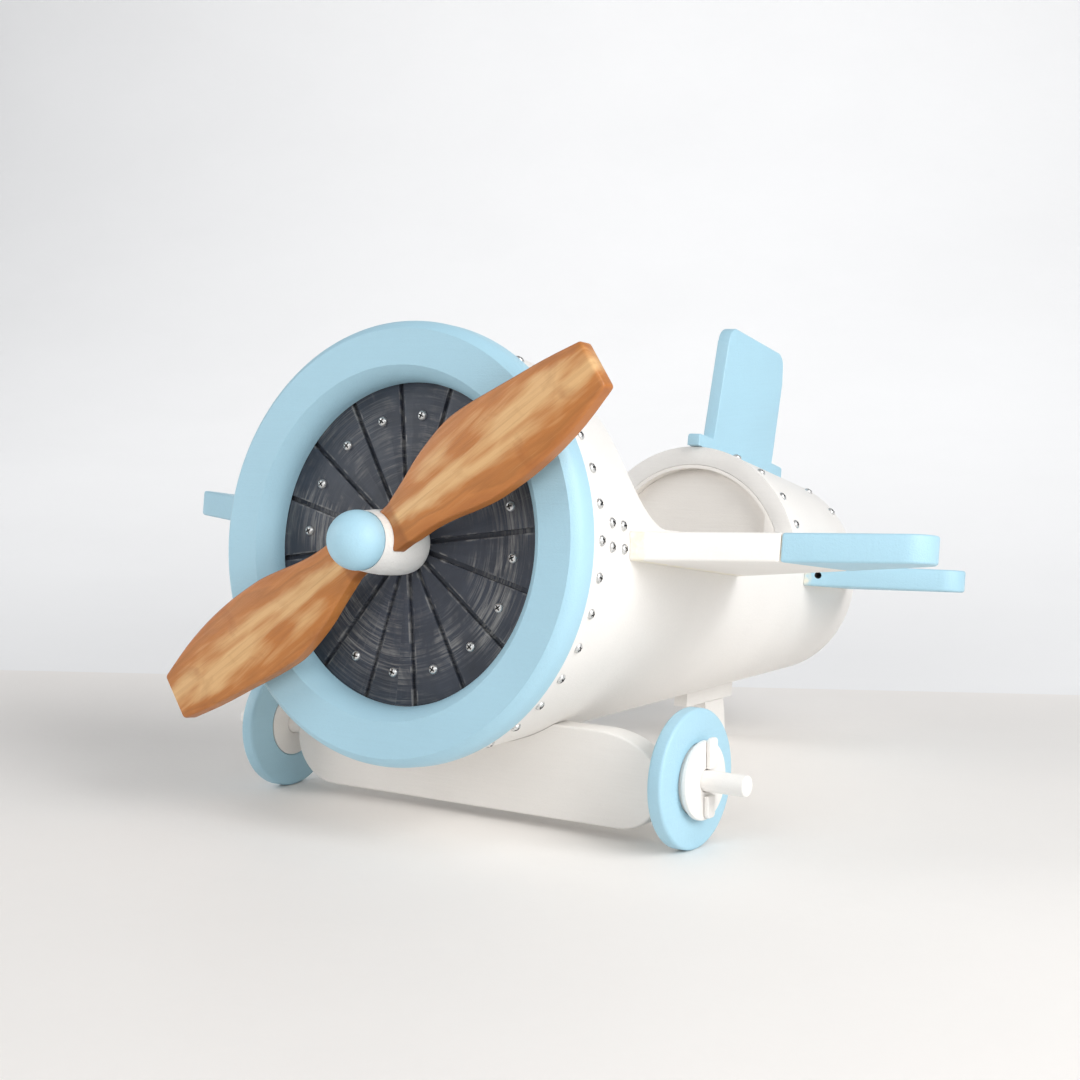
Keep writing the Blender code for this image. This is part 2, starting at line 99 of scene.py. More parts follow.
# screws in the body, placed by their distance from the nose and their angle from the top
SHELL_SCREW_H = 0.0023
COWL_SCREW_Y, COWL_SCREW_START = 0.0289, radians(57.04)
ROOT_SCREWS = (             # share outwards, distance from the nose, share upwards
    (0.939, 0.0453, 0.158), (0.925, 0.0624, 0.151), (0.951, 0.0446, 0.054), (0.935, 0.0633, 0.050))
ARCH_SCREW_Y, ARCH_SCREW_ANGLES = 0.4035, (18.5, 33.5, 50.0, 65.0)
TAIL_SCREWS = ((0.5160, radians(29.0)), (0.5240, radians(46.0)))

# propeller
BLADE_ANGLE = radians(53.6)
BLADE_FRONT, BLADE_T = -0.0285, 0.0130
BLADE_STATIONS = (          # distance from the axis, width to one side, width to the other
    (0.012, 0.0125, 0.0170), (0.023, 0.0128, 0.0172), (0.030, 0.0150, 0.0180), (0.046, 0.0208, 0.0192),
    (0.060, 0.0262, 0.0218), (0.075, 0.0303, 0.0258), (0.090, 0.0330, 0.0294), (0.100, 0.0333, 0.0308),
    (0.115, 0.0318, 0.0318), (0.128, 0.0298, 0.0321), (0.150, 0.0262, 0.0308), (0.175, 0.0222, 0.0266),
    (0.2035, 0.0160, 0.0185))
BLADE_ROOT, BLADE_TIP = BLADE_STATIONS[0][0], BLADE_STATIONS[-1][0]
BLADE_TURNS = [(AIRFRAME.to_3x3() @ Matrix.Rotation(BLADE_ANGLE + extra, 3, 'Y')).to_euler()
               for extra in (0.0, pi)]
HUB_FRONT, HUB_BACK, HUB_R = -0.0335, 0.0131, 0.0218
HUB_TAPER = ((-0.0018, 0.0), (-0.0013, 0.0040), (-0.0005, 0.0110), (0.0, 0.0190))
HUB_SKIRT = (               # how far in from the hub's radius, distance along the axis
    (0.0, -0.0040), (0.0003, 0.0030), (0.0009, 0.0080), (0.0018, 0.0117), (0.0024, 0.0127),
    (0.0032, HUB_BACK))
HUB_LIP, HUB_LIP_R = -0.0358, 0.0199     # the thin lip that clasps the ball
BALL_R, BALL_Y = 0.0200, -0.0410
SHAFT_BORE_R = 0.0058

# wings and tail
# plans: root, leading edge, trailing edge, centre and radius of the round tip
WING_PLAN = (0.099, 0.0562, 0.2730, (0.2960, 0.1588), 0.0225)
TAIL_PLANE_PLAN = (0.060, 0.3955, 0.5230, (0.1960, 0.4560), 0.0180)
# slopes: level at the nose axis, rise outwards, sink towards the tail
WING_SLOPE = (-0.0090, 0.075, -0.020)
TAIL_PLANE_SLOPE = (-0.0118, 0.035, -0.002)
WING_JOINT = 0.2310         # where the white panel ends and the blue tip begins
HOLE_X, HOLE_Y, HOLE_Z, HOLE_R = 0.1091, 0.4100, -0.0002, 0.0027
# the fin's outline by distance from the nose and height; corners as centre, start and end angle
FIN_FRONT = ((0.3840, 0.0850), (0.3840, 0.1060))
FIN_FOOT_X, FIN_FOOT_Z, FIN_FOOT_ROUND = 0.3870, 0.1056, 0.0030
FIN_LEADING_EDGE = ((0.4090, 0.1066), (0.4218, 0.1900))
FIN_CORNERS = ((0.4345, 0.1893, 172, 98), (0.5085, 0.1785, 80, 6))
FIN_BACK = (
    (0.5215, 0.1640), (0.5125, 0.0945), (0.5305, 0.0918), (0.5320, 0.0903), (0.5320, 0.0700))
FIN_CORNER_R, FIN_EASE = 0.0120, 0.0014

# undercarriage, from the axle line
BOARD_LOW, BOARD_HIGH, BOARD_HALF_L, BOARD_SHOULDER = 0.0078, 0.0741, 0.1590, 0.0510
BOARD_EASE = 0.0018
WHEEL_IN, WHEEL_OUT = 0.1707, 0.1817
WHEEL_BORE_R, AXLE_R, DOWEL_ROUND = 0.0240, 0.0072, 0.0012
HUB_PLATE_R, HUB_PLATE_IN, HUB_DISC_OUT = 0.0267, 0.1848, 0.1885
AXLE_IN, AXLE_OUT = 0.1250, 0.2198
STRIP_T, STRIP_W, STRIP_ROUND, STRIP_EASE = 0.0034, 0.0098, 0.0030, 0.0008
STRIPS = (                  # name, up or down, offset towards the tail, inner end, outer end
    ("upper", 1.0, 0.0042, 0.0080, 0.0285), ("lower", -1.0, 0.0012, 0.0100, 0.0250))

# stage
FLOOR_WIDTH, FLOOR_DEPTH = 12.0, 6.0
FLOOR_EDGE = Matrix.Translation((-0.2911, 0.3242, 0)) @ Matrix.Rotation(radians(26.645), 4, 'Z')
BACKDROP = (                # distance behind the floor's edge, height
    (0.0, 0.0), (0.3, 0.020), (0.6, 0.045), (0.9, 0.080), (1.2, 0.125), (1.5, 0.185), (1.8, 0.265),
    (2.1, 0.375), (2.4, 0.530), (2.7, 0.760), (2.95, 1.060), (3.15, 1.450), (3.3, 1.95), (3.4, 2.6),
    (3.45, 3.5), (3.45, 5.0))
CAMERA_PLACE, CAMERA_TURN = (0.868, -1.336, 0.348), (radians(84.13), 0, radians(34.4))
CAMERA_LENS, CAMERA_SENSOR = 69.8, 36.0
LIGHTS = (                  # name, place, what it points at, size, watts
    ("right_softbox", (2.2, -0.5, 1.2), (0, 0, 0.2), (1.4, 1.4), 43.0),
    ("right_rear_softbox", (1.5, 0.0, 2.0), (0, 0, 0.1), (1.2, 1.2), 11.0),
    ("front_fill", (0.6, -2.8, 1.3), (0, 0, 0.2), (1.8, 1.4), 19.0),
    ("left_fill", (-2.2, -1.4, 1.2), (0, 0, 0.2), (1.6, 1.4), 25.0),
    ("backdrop_light", (-0.43, 0.86, 2.2), (-1.60, 3.18, 1.25), (2.6, 0.8), 41.0))
SKY_COLOUR, SKY_STRENGTH = (0.95, 0.97, 1.0, 1.0), 0.25


# ---------------------------------------------------------------- what a user may change

def length(label, text, default, low, high):
    return FloatProperty(name=label, description=text, default=default, min=low, max=high,
                         unit='LENGTH', subtype='DISTANCE', precision=4)


def shade(label, text, default):
    return FloatVectorProperty(name=label, description=text, default=default, min=0.0, max=1.0, size=3,
                               subtype='COLOR')


class AirplaneSizes(PropertyGroup):
    """Thicknesses, roundings and fittings."""
    cowl_inner_round: length("Cowl inner rounding", "Rounding of the cowl's opening",
                             0.0100, 0.001, 0.0120)
    cowl_outer_round: length("Cowl outer rounding", "Rounding of the cowl's outer front edge",
                             0.0060, 0.001, 0.0100)
    groove_width: length("Groove width", "Width of each groove in the engine disc", 0.0036, 0.001, 0.008)
    groove_depth: length("Groove depth", "Depth of each groove in the engine disc", 0.0034, 0.0005, 0.006)
    disc_screw_radius: length("Disc screw radius", "Head radius of the engine disc's screws",
                              0.0034, 0.002, 0.0036)
    shell_screw_radius: length("Shell screw radius", "Head radius of the screws in the body",
                               0.0037, 0.002, 0.005)
    cowl_screws: IntProperty(name="Cowl screws", description="Screws round the body behind the cowl",
                             default=38, min=8, max=48)
    blade_round: length("Blade rounding", "Rounding of the propeller blades' edges", 0.0024, 0.0005, 0.004)
    wing_thickness: length("Wing thickness", "Thickness of the wing boards", 0.0195, 0.015, 0.0195)
    stabilizer_thickness: length("Tail plane thickness", "Thickness of the tail planes",
                                 0.0172, 0.012, 0.0172)
    fin_thickness: length("Fin thickness", "Thickness of the tail fin", 0.0114, 0.008, 0.0114)
    gear_board_thickness: length("Gear board thickness", "Thickness of the board under the body",
                                 0.0190, 0.015, 0.019)
    board_round: length("Board rounding", "Rounding of the wings' and tail planes' sawn edges",
                        0.0020, 0.0005, 0.004)
    wheel_round: length("Wheel rounding", "Rounding of the wheels' rims", 0.0024, 0.0005, 0.004)


class AirplaneColours(PropertyGroup):
    """Paints, stains and surroundings."""
    blue: shade("Pale blue", "Paint of the cowl, wing tips, tail and wheels", (0.41, 0.655, 0.78))
    white: shade("Chalk white", "Paint of the body, wings and undercarriage", (0.895, 0.870, 0.835))
    putty: shade("Putty", "Filler where boards meet the body", (0.86, 0.80, 0.64))
    slate: shade("Charcoal", "Ground coat of the engine disc", (0.038, 0.045, 0.062))
    rubbed: shade("Dry brush", "Pale paint dragged over the engine disc", (0.43, 0.42, 0.40))
    stain_light: shade("Stain, wiped thin", "Palest part of the propeller's stain", (0.74, 0.455, 0.205))
    stain_middle: shade("Stain", "Main colour of the propeller's stain", (0.52, 0.195, 0.047))
    stain_dark: shade("Stain, pooled", "Darkest part of the propeller's stain", (0.34, 0.105, 0.022))
    dowel: shade("Bare wood", "Unpainted dowels", (0.60, 0.42, 0.25))
    steel: shade("Steel", "Screw heads", (0.80, 0.80, 0.79))
    floor: shade("Floor", "Floor under the airplane", (0.90, 0.87, 0.84))
    backdrop: shade("Backdrop", "Backdrop behind the airplane", (0.915, 0.915, 0.92))


# ---------------------------------------------------------------- the maker's steps

def put_down():
    """Leave edit mode and let go of everything."""
    if bpy.context.object and bpy.context.object.mode != 'OBJECT':
        bpy.ops.object.mode_set(mode='OBJECT')
    bpy.ops.object.select_all(action='DESELECT')


def pick_up(piece):
    put_down()
    piece.select_set(True)
    bpy.context.view_layer.objects.active = piece


def drawn(name, points):
    """Draw a closed line of corners, one extruded from the last."""
    put_down()
    bpy.ops.mesh.primitive_plane_add(size=0.001, location=points[0])
    piece = bpy.context.object
    piece.name = piece.data.name = name
    bpy.ops.object.transform_apply(location=True, rotation=True, scale=True)
    bpy.ops.object.mode_set(mode='EDIT')
    bpy.ops.mesh.select_mode(type='VERT')
    bpy.ops.mesh.select_all(action='SELECT')
    bpy.ops.mesh.merge(type='CENTER')
    for here, there in zip(points, points[1:]):
        step = Vector(there) - Vector(here)
        bpy.ops.mesh.extrude_vertices_move(TRANSFORM_OT_translate={"value": step})
    bpy.ops.object.mode_set(mode='OBJECT')
    for vert in piece.data.vertices:
        vert.select = vert.index in (0, len(points) - 1)
    bpy.ops.object.mode_set(mode='EDIT')
    bpy.ops.mesh.edge_face_add()
    return piece


def turned(name, profile, steps, axis='Y'):
    """Turn a closed profile of (radius, distance along the axis) on a lathe."""
    across = Vector((0, 0, 1))
    along = Vector((0, 1, 0)) if axis == 'Y' else Vector((1, 0, 0))
    piece = drawn(name, [across * r + along * a for r, a in profile])
    bpy.ops.mesh.select_all(action='SELECT')
    bpy.ops.mesh.spin(steps=steps, angle=2 * pi, center=(0, 0, 0), axis=along)
    bpy.ops.mesh.select_all(action='SELECT')
    bpy.ops.mesh.remove_doubles(threshold=2e-6)
    bpy.ops.mesh.dissolve_degenerate(threshold=1e-7)
    bpy.ops.mesh.select_all(action='SELECT')
    bpy.ops.mesh.normals_make_consistent(inside=False)
    bpy.ops.object.mode_set(mode='OBJECT')
    return piece


def sawn(name, outline, thickness):
    """Saw a board out along its outline: it lies on XY and is thick along Z."""
    piece = drawn(name, [(u, v, 0.0) for u, v in outline])
    bpy.ops.mesh.select_all(action='SELECT')
    bpy.ops.mesh.edge_face_add()
    bpy.ops.mesh.extrude_region_move(TRANSFORM_OT_translate={"value": (0, 0, thickness)})
    bpy.ops.mesh.select_all(action='SELECT')
    bpy.ops.mesh.normals_make_consistent(inside=False)
    bpy.ops.object.mode_set(mode='OBJECT')
    return piece


def block(size, place=(0, 0, 0)):
    put_down()
    bpy.ops.mesh.primitive_cube_add(size=1.0, location=place)
    piece = bpy.context.object
    piece.scale = size
    bpy.ops.object.transform_apply(location=True, rotation=True, scale=True)
    return piece


def apply_modifier(piece, kind, **settings):
    pick_up(piece)
    modifier = piece.modifiers.new(kind.title(), kind)
    for key, value in settings.items():
        setattr(modifier, key, value)
    bpy.ops.object.modifier_apply(modifier=modifier.name)


def eased(piece, width, segments=3, angle=40):
    """Sand the sharp edges of a piece to a small round."""
    apply_modifier(piece, 'BEVEL', width=width, segments=segments, limit_method='ANGLE',
                   angle_limit=radians(angle), use_clamp_overlap=True)


def cut_away(piece, *tools):
    for tool in tools:
        apply_modifier(piece, 'BOOLEAN', operation='DIFFERENCE', solver='EXACT', object=tool)
        bpy.data.objects.remove(tool)
    if not piece.data.polygons:
        raise RuntimeError("nothing is left of %s after its cut" % piece.name)


def joined(pieces):
    put_down()
    for piece in pieces:
        piece.select_set(True)
    bpy.context.view_layer.objects.active = pieces[0]
    bpy.ops.object.join()
    return pieces[0]


def another(piece, name):
    put_down()
    twin = piece.copy()
    twin.data = piece.data.copy()
    twin.name = twin.data.name = name
    bpy.context.collection.objects.link(twin)
    return twin


def settled(piece, place):
    """Put a finished shape in its place, with its object at the origin."""
    piece.data.transform(place)
    if place.determinant() < 0:
        piece.data.flip_normals()
    return piece


def finished(piece, finish, body, slot, *nodes, angle=34):
    pick_up(piece)
    bpy.ops.object.shade_smooth_by_angle(angle=radians(angle))
    if not piece.data.materials:
        piece.data.materials.append(finish_of(finish))
    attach(piece, body)
    if nodes:
        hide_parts(*nodes)
    put_down()
    return piece


def repaint(name, finish):
    """Give a carried-over part its finish."""
    node = frame["nodes"][name]
    node.data.materials.clear()
    node.data.materials.append(finish_of(finish))


def round_corner(x, y, radius, start, end, steps):
    turn = (end - start) / steps
    return [(x + radius * cos(start + turn * i), y + radius * sin(start + turn * i))
            for i in range(steps + 1)]


def flowing(points, steps):
    """More points along a smooth curve through the given ones."""
    out = []
    for i in range(len(points) - 1):
        p0, p1 = points[max(i - 1, 0)], points[i]
        p2, p3 = points[i + 1], points[min(i + 2, len(points) - 1)]
        for k in range(steps):
            t = k / steps
            out.append(tuple(
                0.5 * (2 * b + (c - a) * t + (2 * a - 5 * b + 4 * c - d) * t * t
                       + (3 * b - a - 3 * c + d) * t ** 3)
                for a, b, c, d in zip(p0, p1, p2, p3)))
    return out + [tuple(points[-1])]


def planform(root_x, lead, trail, tip, radius, steps=16):
    """A tapered board with a round tip, its straight edges tangent to the round."""
    angles = []
    for y, side in ((lead, 1.0), (trail, -1.0)):
        dx, dy = tip[0] - root_x, tip[1] - y
        line = atan2(dy, dx) - side * asin(radius / sqrt(dx * dx + dy * dy))
        angles.append(line - side * pi / 2)
    return [(root_x, lead)] + round_corner(*tip, radius, *angles, steps) + [(root_x, trail)]


def split_outline(points, x):
    def at(a, b, x):
        return (x, a[1] + (b[1] - a[1]) * (x - a[0]) / (b[0] - a[0]))
    inner = [points[0], at(points[0], points[1], x), at(points[-1], points[-2], x), points[-1]]
    outer = [at(points[0], points[1], x + GAP)] + points[1:-1] + [at(points[-1], points[-2], x + GAP)]
    return inner, outer


def sloped(sign, level, rise, sink):
    """Lay a board at a level, rising outwards and sinking towards the tail."""
    return Matrix(((sign, 0, 0, 0), (0, 1, 0, 0), (rise, sink, 1, level), (0, 0, 0, 1)))


def body_radius(y):
    return BODY_R_FRONT + TAPER * (y - BODY_FRONT)


def body_centre(y):
    return -BODY_DROP * (y - BODY_FRONT) / (BODY_BACK - BODY_FRONT)


def drooped(piece):
    """Let the body's centre line sink a little towards the tail."""
    droop = Matrix.Identity(4)
    droop[2][1] = -BODY_DROP / (BODY_BACK - BODY_FRONT)
    droop[2][3] = -droop[2][1] * BODY_FRONT
    piece.data.transform(droop)
    return piece


def body_plug(name, front, back, offset):
    """A solid slice of the body's cone."""
    return drooped(turned(name, [(0, front), (body_radius(front) + offset, front),
                                 (body_radius(back) + offset, back), (0, back)], 192))


def body_tool():
    return body_plug("body_tool", BODY_FRONT - 0.03, BODY_BACK + 0.03, GAP)


def on_body(y, angle):
    """Place and outward direction of a point on the body, the angle from the top towards +X."""
    outward = Vector((sin(angle), 0, cos(angle)))
    place = outward * body_radius(y) + Vector((0, y, body_centre(y)))
    return place, (outward - Vector((0, TAPER, 0))).normalized()


def pan_head(name, radius, height, steps=20):
    """A pan-head screw's head with its cross recess painted dark as painted shade, facing -Y, its seat at the
    origin.
    """
    head = turned(name, [(0, -height), (radius * 0.45, -height * 0.95), (radius * 0.78, -height * 0.74),
                         (radius * 0.95, -height * 0.42), (radius, -height * 0.12), (radius * 0.98, 0.0006),
                         (0, 0.0006)], steps)
    paints = (finish_of("bright_screw_steel"), finish_of("screw_recess_painted_shade"))
    for paint in paints:
        head.data.materials.append(paint)
    for turn in (0.35, 0.35 + pi / 2):
        slot = block((radius * 0.30, height * 1.3, radius * 1.25), (0, -height, 0))
        for paint in paints:
            slot.data.materials.append(paint)
        # the recess's faces take the darkened steel: painted shade
        for face in slot.data.polygons:
            face.material_index = 1
        slot.data.transform(Matrix.Rotation(turn, 4, 'Y'))
        cut_away(head, slot)
    return head


# ---------------------------------------------------------------- finishes

class Finish:
    """A material and the few words it takes to build its pattern."""

    def __init__(self, name, roughness=0.5, metallic=0.0):
        self.material = bpy.data.materials.new(name)
        self.material.use_nodes = True
        self.tree = self.material.node_tree
        self.shader = self.tree.nodes["Principled BSDF"]
        self.shader.inputs["Roughness"].default_value = roughness
        self.shader.inputs["Metallic"].default_value = metallic

    def add(self, kind, inputs=None, **settings):
        made = self.tree.nodes.new("ShaderNode" + kind)
        for key, value in settings.items():
            setattr(made, key, value)
        for key, value in (inputs or {}).items():
            if isinstance(value, bpy.types.NodeSocket):
                self.tree.links.new(value, made.inputs[key])
            else:
                made.inputs[key].default_value = value
        return made

    def here(self, centre=(0, 0, 0), turn=(0, 0, 0)):
        """Coordinates of the piece, measured from its own centre and along its own grain."""
        start = self.add("TexCoord").outputs["Object"]
        return self.add("Mapping", {"Vector": start, "Location": centre, "Rotation": turn},
                        vector_type='TEXTURE').outputs[0]

    def parts(self, place):
        return self.add("SeparateXYZ", {0: place}).outputs

    def noise(self, place, scale, detail=3.0, rough=0.55, warp=0.0, stretch=None):
        if stretch:
            place = self.add("Mapping", {"Vector": place, "Scale": stretch}, vector_type='POINT').outputs[0]
        return self.add("TexNoise", {"Vector": place, "Scale": scale, "Detail": detail, "Roughness": rough,
                                     "Distortion": warp}).outputs[0]

    def ramp(self, value, *stops):
        node = self.add("ValToRGB", {0: value})
        while len(node.color_ramp.elements) < len(stops):
            node.color_ramp.elements.new(0.5)
        for element, (place, shade) in zip(node.color_ramp.elements, stops):
            element.position = place
            element.color = (*shade, 1.0) if isinstance(shade, tuple) else (shade, shade, shade, 1.0)
        return node.outputs[0]

    def span(self, value, low, high, start=0.0, end=1.0):
        return self.add("MapRange", {0: value, 1: low, 2: high, 3: start, 4: end}, clamp=True).outputs[0]

    def sum(self, kind, a, b=0.0, clamp=False):
        return self.add("Math", {0: a, 1: b}, operation=kind, use_clamp=clamp).outputs[0]

    def around(self, parts):
        """Distance from the lengthwise axis."""
        squares = [self.sum('MULTIPLY', parts[k], parts[k]) for k in (0, 2)]
        return self.sum('SQRT', self.sum('ADD', *squares))

    def mix(self, share, a, b):
        node = self.add("Mix", {0: share}, data_type='RGBA', blend_type='MIX')
        for index, value in ((6, a), (7, b)):
            if isinstance(value, bpy.types.NodeSocket):
                self.tree.links.new(value, node.inputs[index])
            else:
                node.inputs[index].default_value = (*value, 1.0)
        return node.outputs[2]

    def colour(self, socket):
        self.tree.links.new(socket, self.shader.inputs["Base Color"])

    def roughness(self, socket):
        self.tree.links.new(socket, self.shader.inputs["Roughness"])

    def relief(self, *layers):
        """Raise the surface: each layer is a height and the metres it stands for."""
        normal = None
        for height, depth in layers:
            inputs = {"Height": height, "Distance": depth, "Strength": 1.0}
            if normal:
                inputs["Normal"] = normal
            normal = self.add("Bump", inputs).outputs[0]
        self.tree.links.new(normal, self.shader.inputs["Normal"])
        return self.material


def tone(colour, factor):
    return tuple(min(c * factor, 1.0) for c in colour)


def with_painted_cockpit_light(colour):
    """The white for the arch and the seat back, a little pinker and brighter: painted light for the light they
    get inside the cockpit.
    """
    return tuple(min(c * k, 0.96) for c, k in zip(colour, (1.07, 1.05, 1.03)))


def colours():
    return bpy.context.scene.airplane_colours


def painted_wood(name, colour, turn=LEVELLED, sheen=0.5, weave=0.00012, strokes=0.00010, over=None):
    """Brushed matt paint over smooth wood: faint strokes along the grain and a fine roller stipple."""
    f = Finish(name, sheen)
    colour = tuple(colour)
    place = f.here(NOSE, turn)
    cloud = f.noise(place, 9.0, 2.0, 0.5)
    stroke = f.noise(place, 1.0, 4.0, 0.6, 0.3, (28.0, 620.0, 620.0))
    cross = f.noise(place, 1.0, 3.0, 0.6, 0.2, (700.0, 90.0, 90.0))
    stipple = f.noise(place, 950.0, 2.0, 0.6)
    paint = f.mix(f.ramp(cloud, (0.35, 0.0), (0.7, 1.0)), tone(colour, 0.965), tone(colour, 1.02))
    paint = f.mix(f.ramp(stroke, (0.40, 0.0), (0.75, 0.30)), paint, tone(colour, 1.06))
    paint = f.mix(f.ramp(stipple, (0.30, 0.16), (0.5, 0.0)), paint, tone(colour, 0.88))
    if over:
        paint = over(f, paint)
    f.colour(paint)
    f.roughness(f.ramp(cloud, (0.3, sheen - 0.05), (0.7, sheen + 0.07)))
    return f.relief((stroke, strokes), (cross, weave * 0.7), (stipple, weave))


def puttied(reach):
    """Cream filler where a board meets the body, worked in by hand."""
    def over(f, paint):
        place = f.here(NOSE, LEVELLED)
        parts = f.parts(place)
        skin = f.sum('ADD', f.sum('MULTIPLY', parts[1], TAPER), body_radius(0.0))
        ragged = f.sum('MULTIPLY', f.sum('SUBTRACT', f.noise(place, 240.0, 4.0, 0.65), 0.5), 0.010)
        clear = f.sum('ADD', f.sum('SUBTRACT', f.around(parts), skin), ragged)
        worn = f.ramp(f.noise(place, 130.0, 3.0), (0.36, 0.15), (0.60, 1.0))
        share = f.sum('MULTIPLY', f.span(clear, reach, reach + 0.0026, 0.85, 0.0), worn)
        return f.mix(share, paint, tuple(colours().putty))
    return over


def masked_edge(f, paint):
    """A thin cream line where the blue tip's paint stops short of the joint."""
    place = f.here(NOSE, LEVELLED)
    ragged = f.sum('MULTIPLY', f.noise(place, 320.0, 3.0), 0.0008)
    out = f.sum('SUBTRACT', f.sum('ABSOLUTE', f.parts(place)[0]), ragged)
    line = f.span(out, WING_JOINT + 0.0004, WING_JOINT + 0.0009, 0.9, 0.0)
    return f.mix(line, paint, tuple(colours().putty))


def rubbed_slate(name):
    """Charcoal paint dragged over with a nearly dry pale brush, round the centre."""
    f = Finish(name, 0.55)
    place = f.here(NOSE, LEVELLED)
    parts = f.parts(place)
    far = f.around(parts)
    angle = f.sum('ARCTAN2', parts[0], parts[2])
    swirl = f.add("CombineXYZ", {0: far, 1: f.sum('MULTIPLY', angle, 0.02),
                                 2: f.sum('MULTIPLY', parts[1], 0.5)}).outputs[0]
    hair = f.noise(swirl, 1.0, 6.0, 0.70, 0.9, (430.0, 70.0, 200.0))
    bands = f.noise(swirl, 1.0, 2.0, 0.5, 0.6, (60.0, 46.0, 30.0))
    patch = f.noise(place, 20.0, 4.0, 0.65, 0.6)
    rays = f.noise(swirl, 1.0, 5.0, 0.7, 0.1, (30.0, 1500.0, 200.0))
    sway = f.sum('MULTIPLY', f.sum('SUBTRACT', bands, 0.5), 0.45)
    belt = f.ramp(f.sum('ADD', f.sum('DIVIDE', far, DISC_R), sway),
                  (0.30, 0.06), (0.44, 0.55), (0.58, 1.0), (0.70, 0.80), (0.77, 0.30), (0.86, 0.75), (0.95, 0.55))
    dry = f.sum('MULTIPLY', f.ramp(hair, (0.46, 0.0), (0.66, 1.0)), belt)
    dry = f.sum('MULTIPLY', dry, f.ramp(patch, (0.44, 0.05), (0.60, 1.0)))
    cross = f.sum('MULTIPLY', f.ramp(rays, (0.56, 0.0), (0.76, 0.6)),
                  f.ramp(patch, (0.50, 0.0), (0.64, 1.0)))
    dark, light = tuple(colours().slate), tuple(colours().rubbed)
    base = f.mix(f.ramp(f.noise(place, 30.0, 3.0), (0.3, 0.0), (0.7, 1.0)),
                 tone(dark, 0.80), tone(dark, 1.35))
    base = f.mix(f.sum('MULTIPLY', dry, 0.74, True), base, light)
    base = f.mix(f.sum('MULTIPLY', cross, 0.42, True), base, tone(light, 0.85))
    # pale along both edges of every groove: dry-brush paint caught on the edges, and a painted highlight where
    # the edges catch the light
    per_turn = GROOVES / (2 * pi)
    turns = f.sum('ADD', f.sum('MULTIPLY', angle, per_turn), 0.5 - GROOVE_PHASE * per_turn)
    aside = f.sum('ABSOLUTE', f.sum('SUBTRACT', f.sum('FLOORED_MODULO', turns, 1.0), 0.5))
    aside = f.sum('MULTIPLY', f.sum('MULTIPLY', aside, far), 2 * pi / GROOVES)
    half = bpy.context.scene.airplane_sizes.groove_width / 2
    edge = f.sum('ABSOLUTE', f.sum('SUBTRACT', aside, half + 0.0003))
    worn = f.sum('MULTIPLY', f.span(edge, 0.0002, 0.0011, 0.42, 0.0),
                 f.ramp(f.noise(place, 120.0, 4.0), (0.48, 0.0), (0.64, 1.0)))
    base = f.mix(worn, base, tone(light, 1.05))
    f.colour(base)
    f.roughness(f.ramp(patch, (0.3, 0.48), (0.7, 0.62)))
    return f.relief((hair, 0.00018), (f.noise(place, 700.0), 0.00008))


def stained_wood(name, turn):
    """Orange-brown stain, wiped thin in a wandering streak along the middle of the blade."""
    f = Finish(name, 0.40)
    place = f.here(NOSE, turn)
    parts = f.parts(place)
    along = f.span(parts[2], BLADE_ROOT, BLADE_TIP)
    width = f.add("FloatCurve", {"Value": along})
    line = width.mapping.curves[0]
    stops = [((z - BLADE_ROOT) / (BLADE_TIP - BLADE_ROOT), (a + b) * 10.0) for z, a, b in BLADE_STATIONS]
    line.points[0].location, line.points[1].location = stops[0], stops[1]
    for stop in stops[2:]:
        line.points.new(*stop)
    width.mapping.update()
    half = f.sum('MULTIPLY', width.outputs[0], 0.05)
    sway = f.noise(place, 1.0, 2.0, 0.5, 0.0, (22.0, 1.0, 14.0))
    side = f.sum('ADD', f.sum('DIVIDE', parts[0], half),
                 f.sum('MULTIPLY', f.sum('SUBTRACT', sway, 0.5), 1.9))
    fibre = f.noise(place, 1.0, 5.0, 0.66, 0.4, (480.0, 120.0, 16.0))
    wiped = f.noise(place, 1.0, 4.0, 0.56, 0.7, (52.0, 26.0, 7.5))
    blot = f.noise(place, 26.0, 3.0, 0.6, 0.6)
    paints = colours()
    light, mid, dark = (tuple(c) for c in (paints.stain_light, paints.stain_middle, paints.stain_dark))
    halfway = tuple((a + b) / 2 for a, b in zip(light, mid))
    aside = f.sum('ABSOLUTE', side)
    streak = f.sum('ADD', aside, f.sum('MULTIPLY', f.sum('SUBTRACT', wiped, 0.5), 2.4))
    stain = f.ramp(streak, (0.04, light), (0.30, halfway), (0.50, mid), (0.80, tone(mid, 0.84)),
                   (0.96, tone(mid, 1.05)))
    stain = f.mix(f.ramp(fibre, (0.50, 0.0), (0.80, 0.42)), stain, dark)
    stain = f.mix(f.ramp(fibre, (0.20, 0.34), (0.42, 0.0)), stain, light)
    stain = f.mix(f.ramp(blot, (0.55, 0.0), (0.74, 0.50)), stain, dark)
    stain = f.mix(f.span(f.sum('ADD', aside, wiped), 1.35, 1.65, 0.0, 0.45), stain, tone(dark, 1.1))
    stain = f.mix(f.span(parts[2], 0.0255, 0.0285, 0.55, 0.0), stain, tone(dark, 0.8))
    f.colour(stain)
    f.roughness(f.ramp(wiped, (0.3, 0.34), (0.7, 0.50)))
    pores = f.noise(place, 1.0, 3.0, 0.6, 0.0, (1200.0, 300.0, 60.0))
    return f.relief((fibre, 0.00016), (pores, 0.00010))


def bare_wood(name):
    f = Finish(name, 0.6)
    fibre = f.noise(f.here(NOSE, LEVELLED), 1.0, 4.0, 0.6, 0.2, (900.0, 30.0, 900.0))
    wood = tuple(colours().dowel)
    f.colour(f.ramp(fibre, (0.3, tone(wood, 0.72)), (0.7, tone(wood, 1.1))))
    return f.relief((fibre, 0.00015))


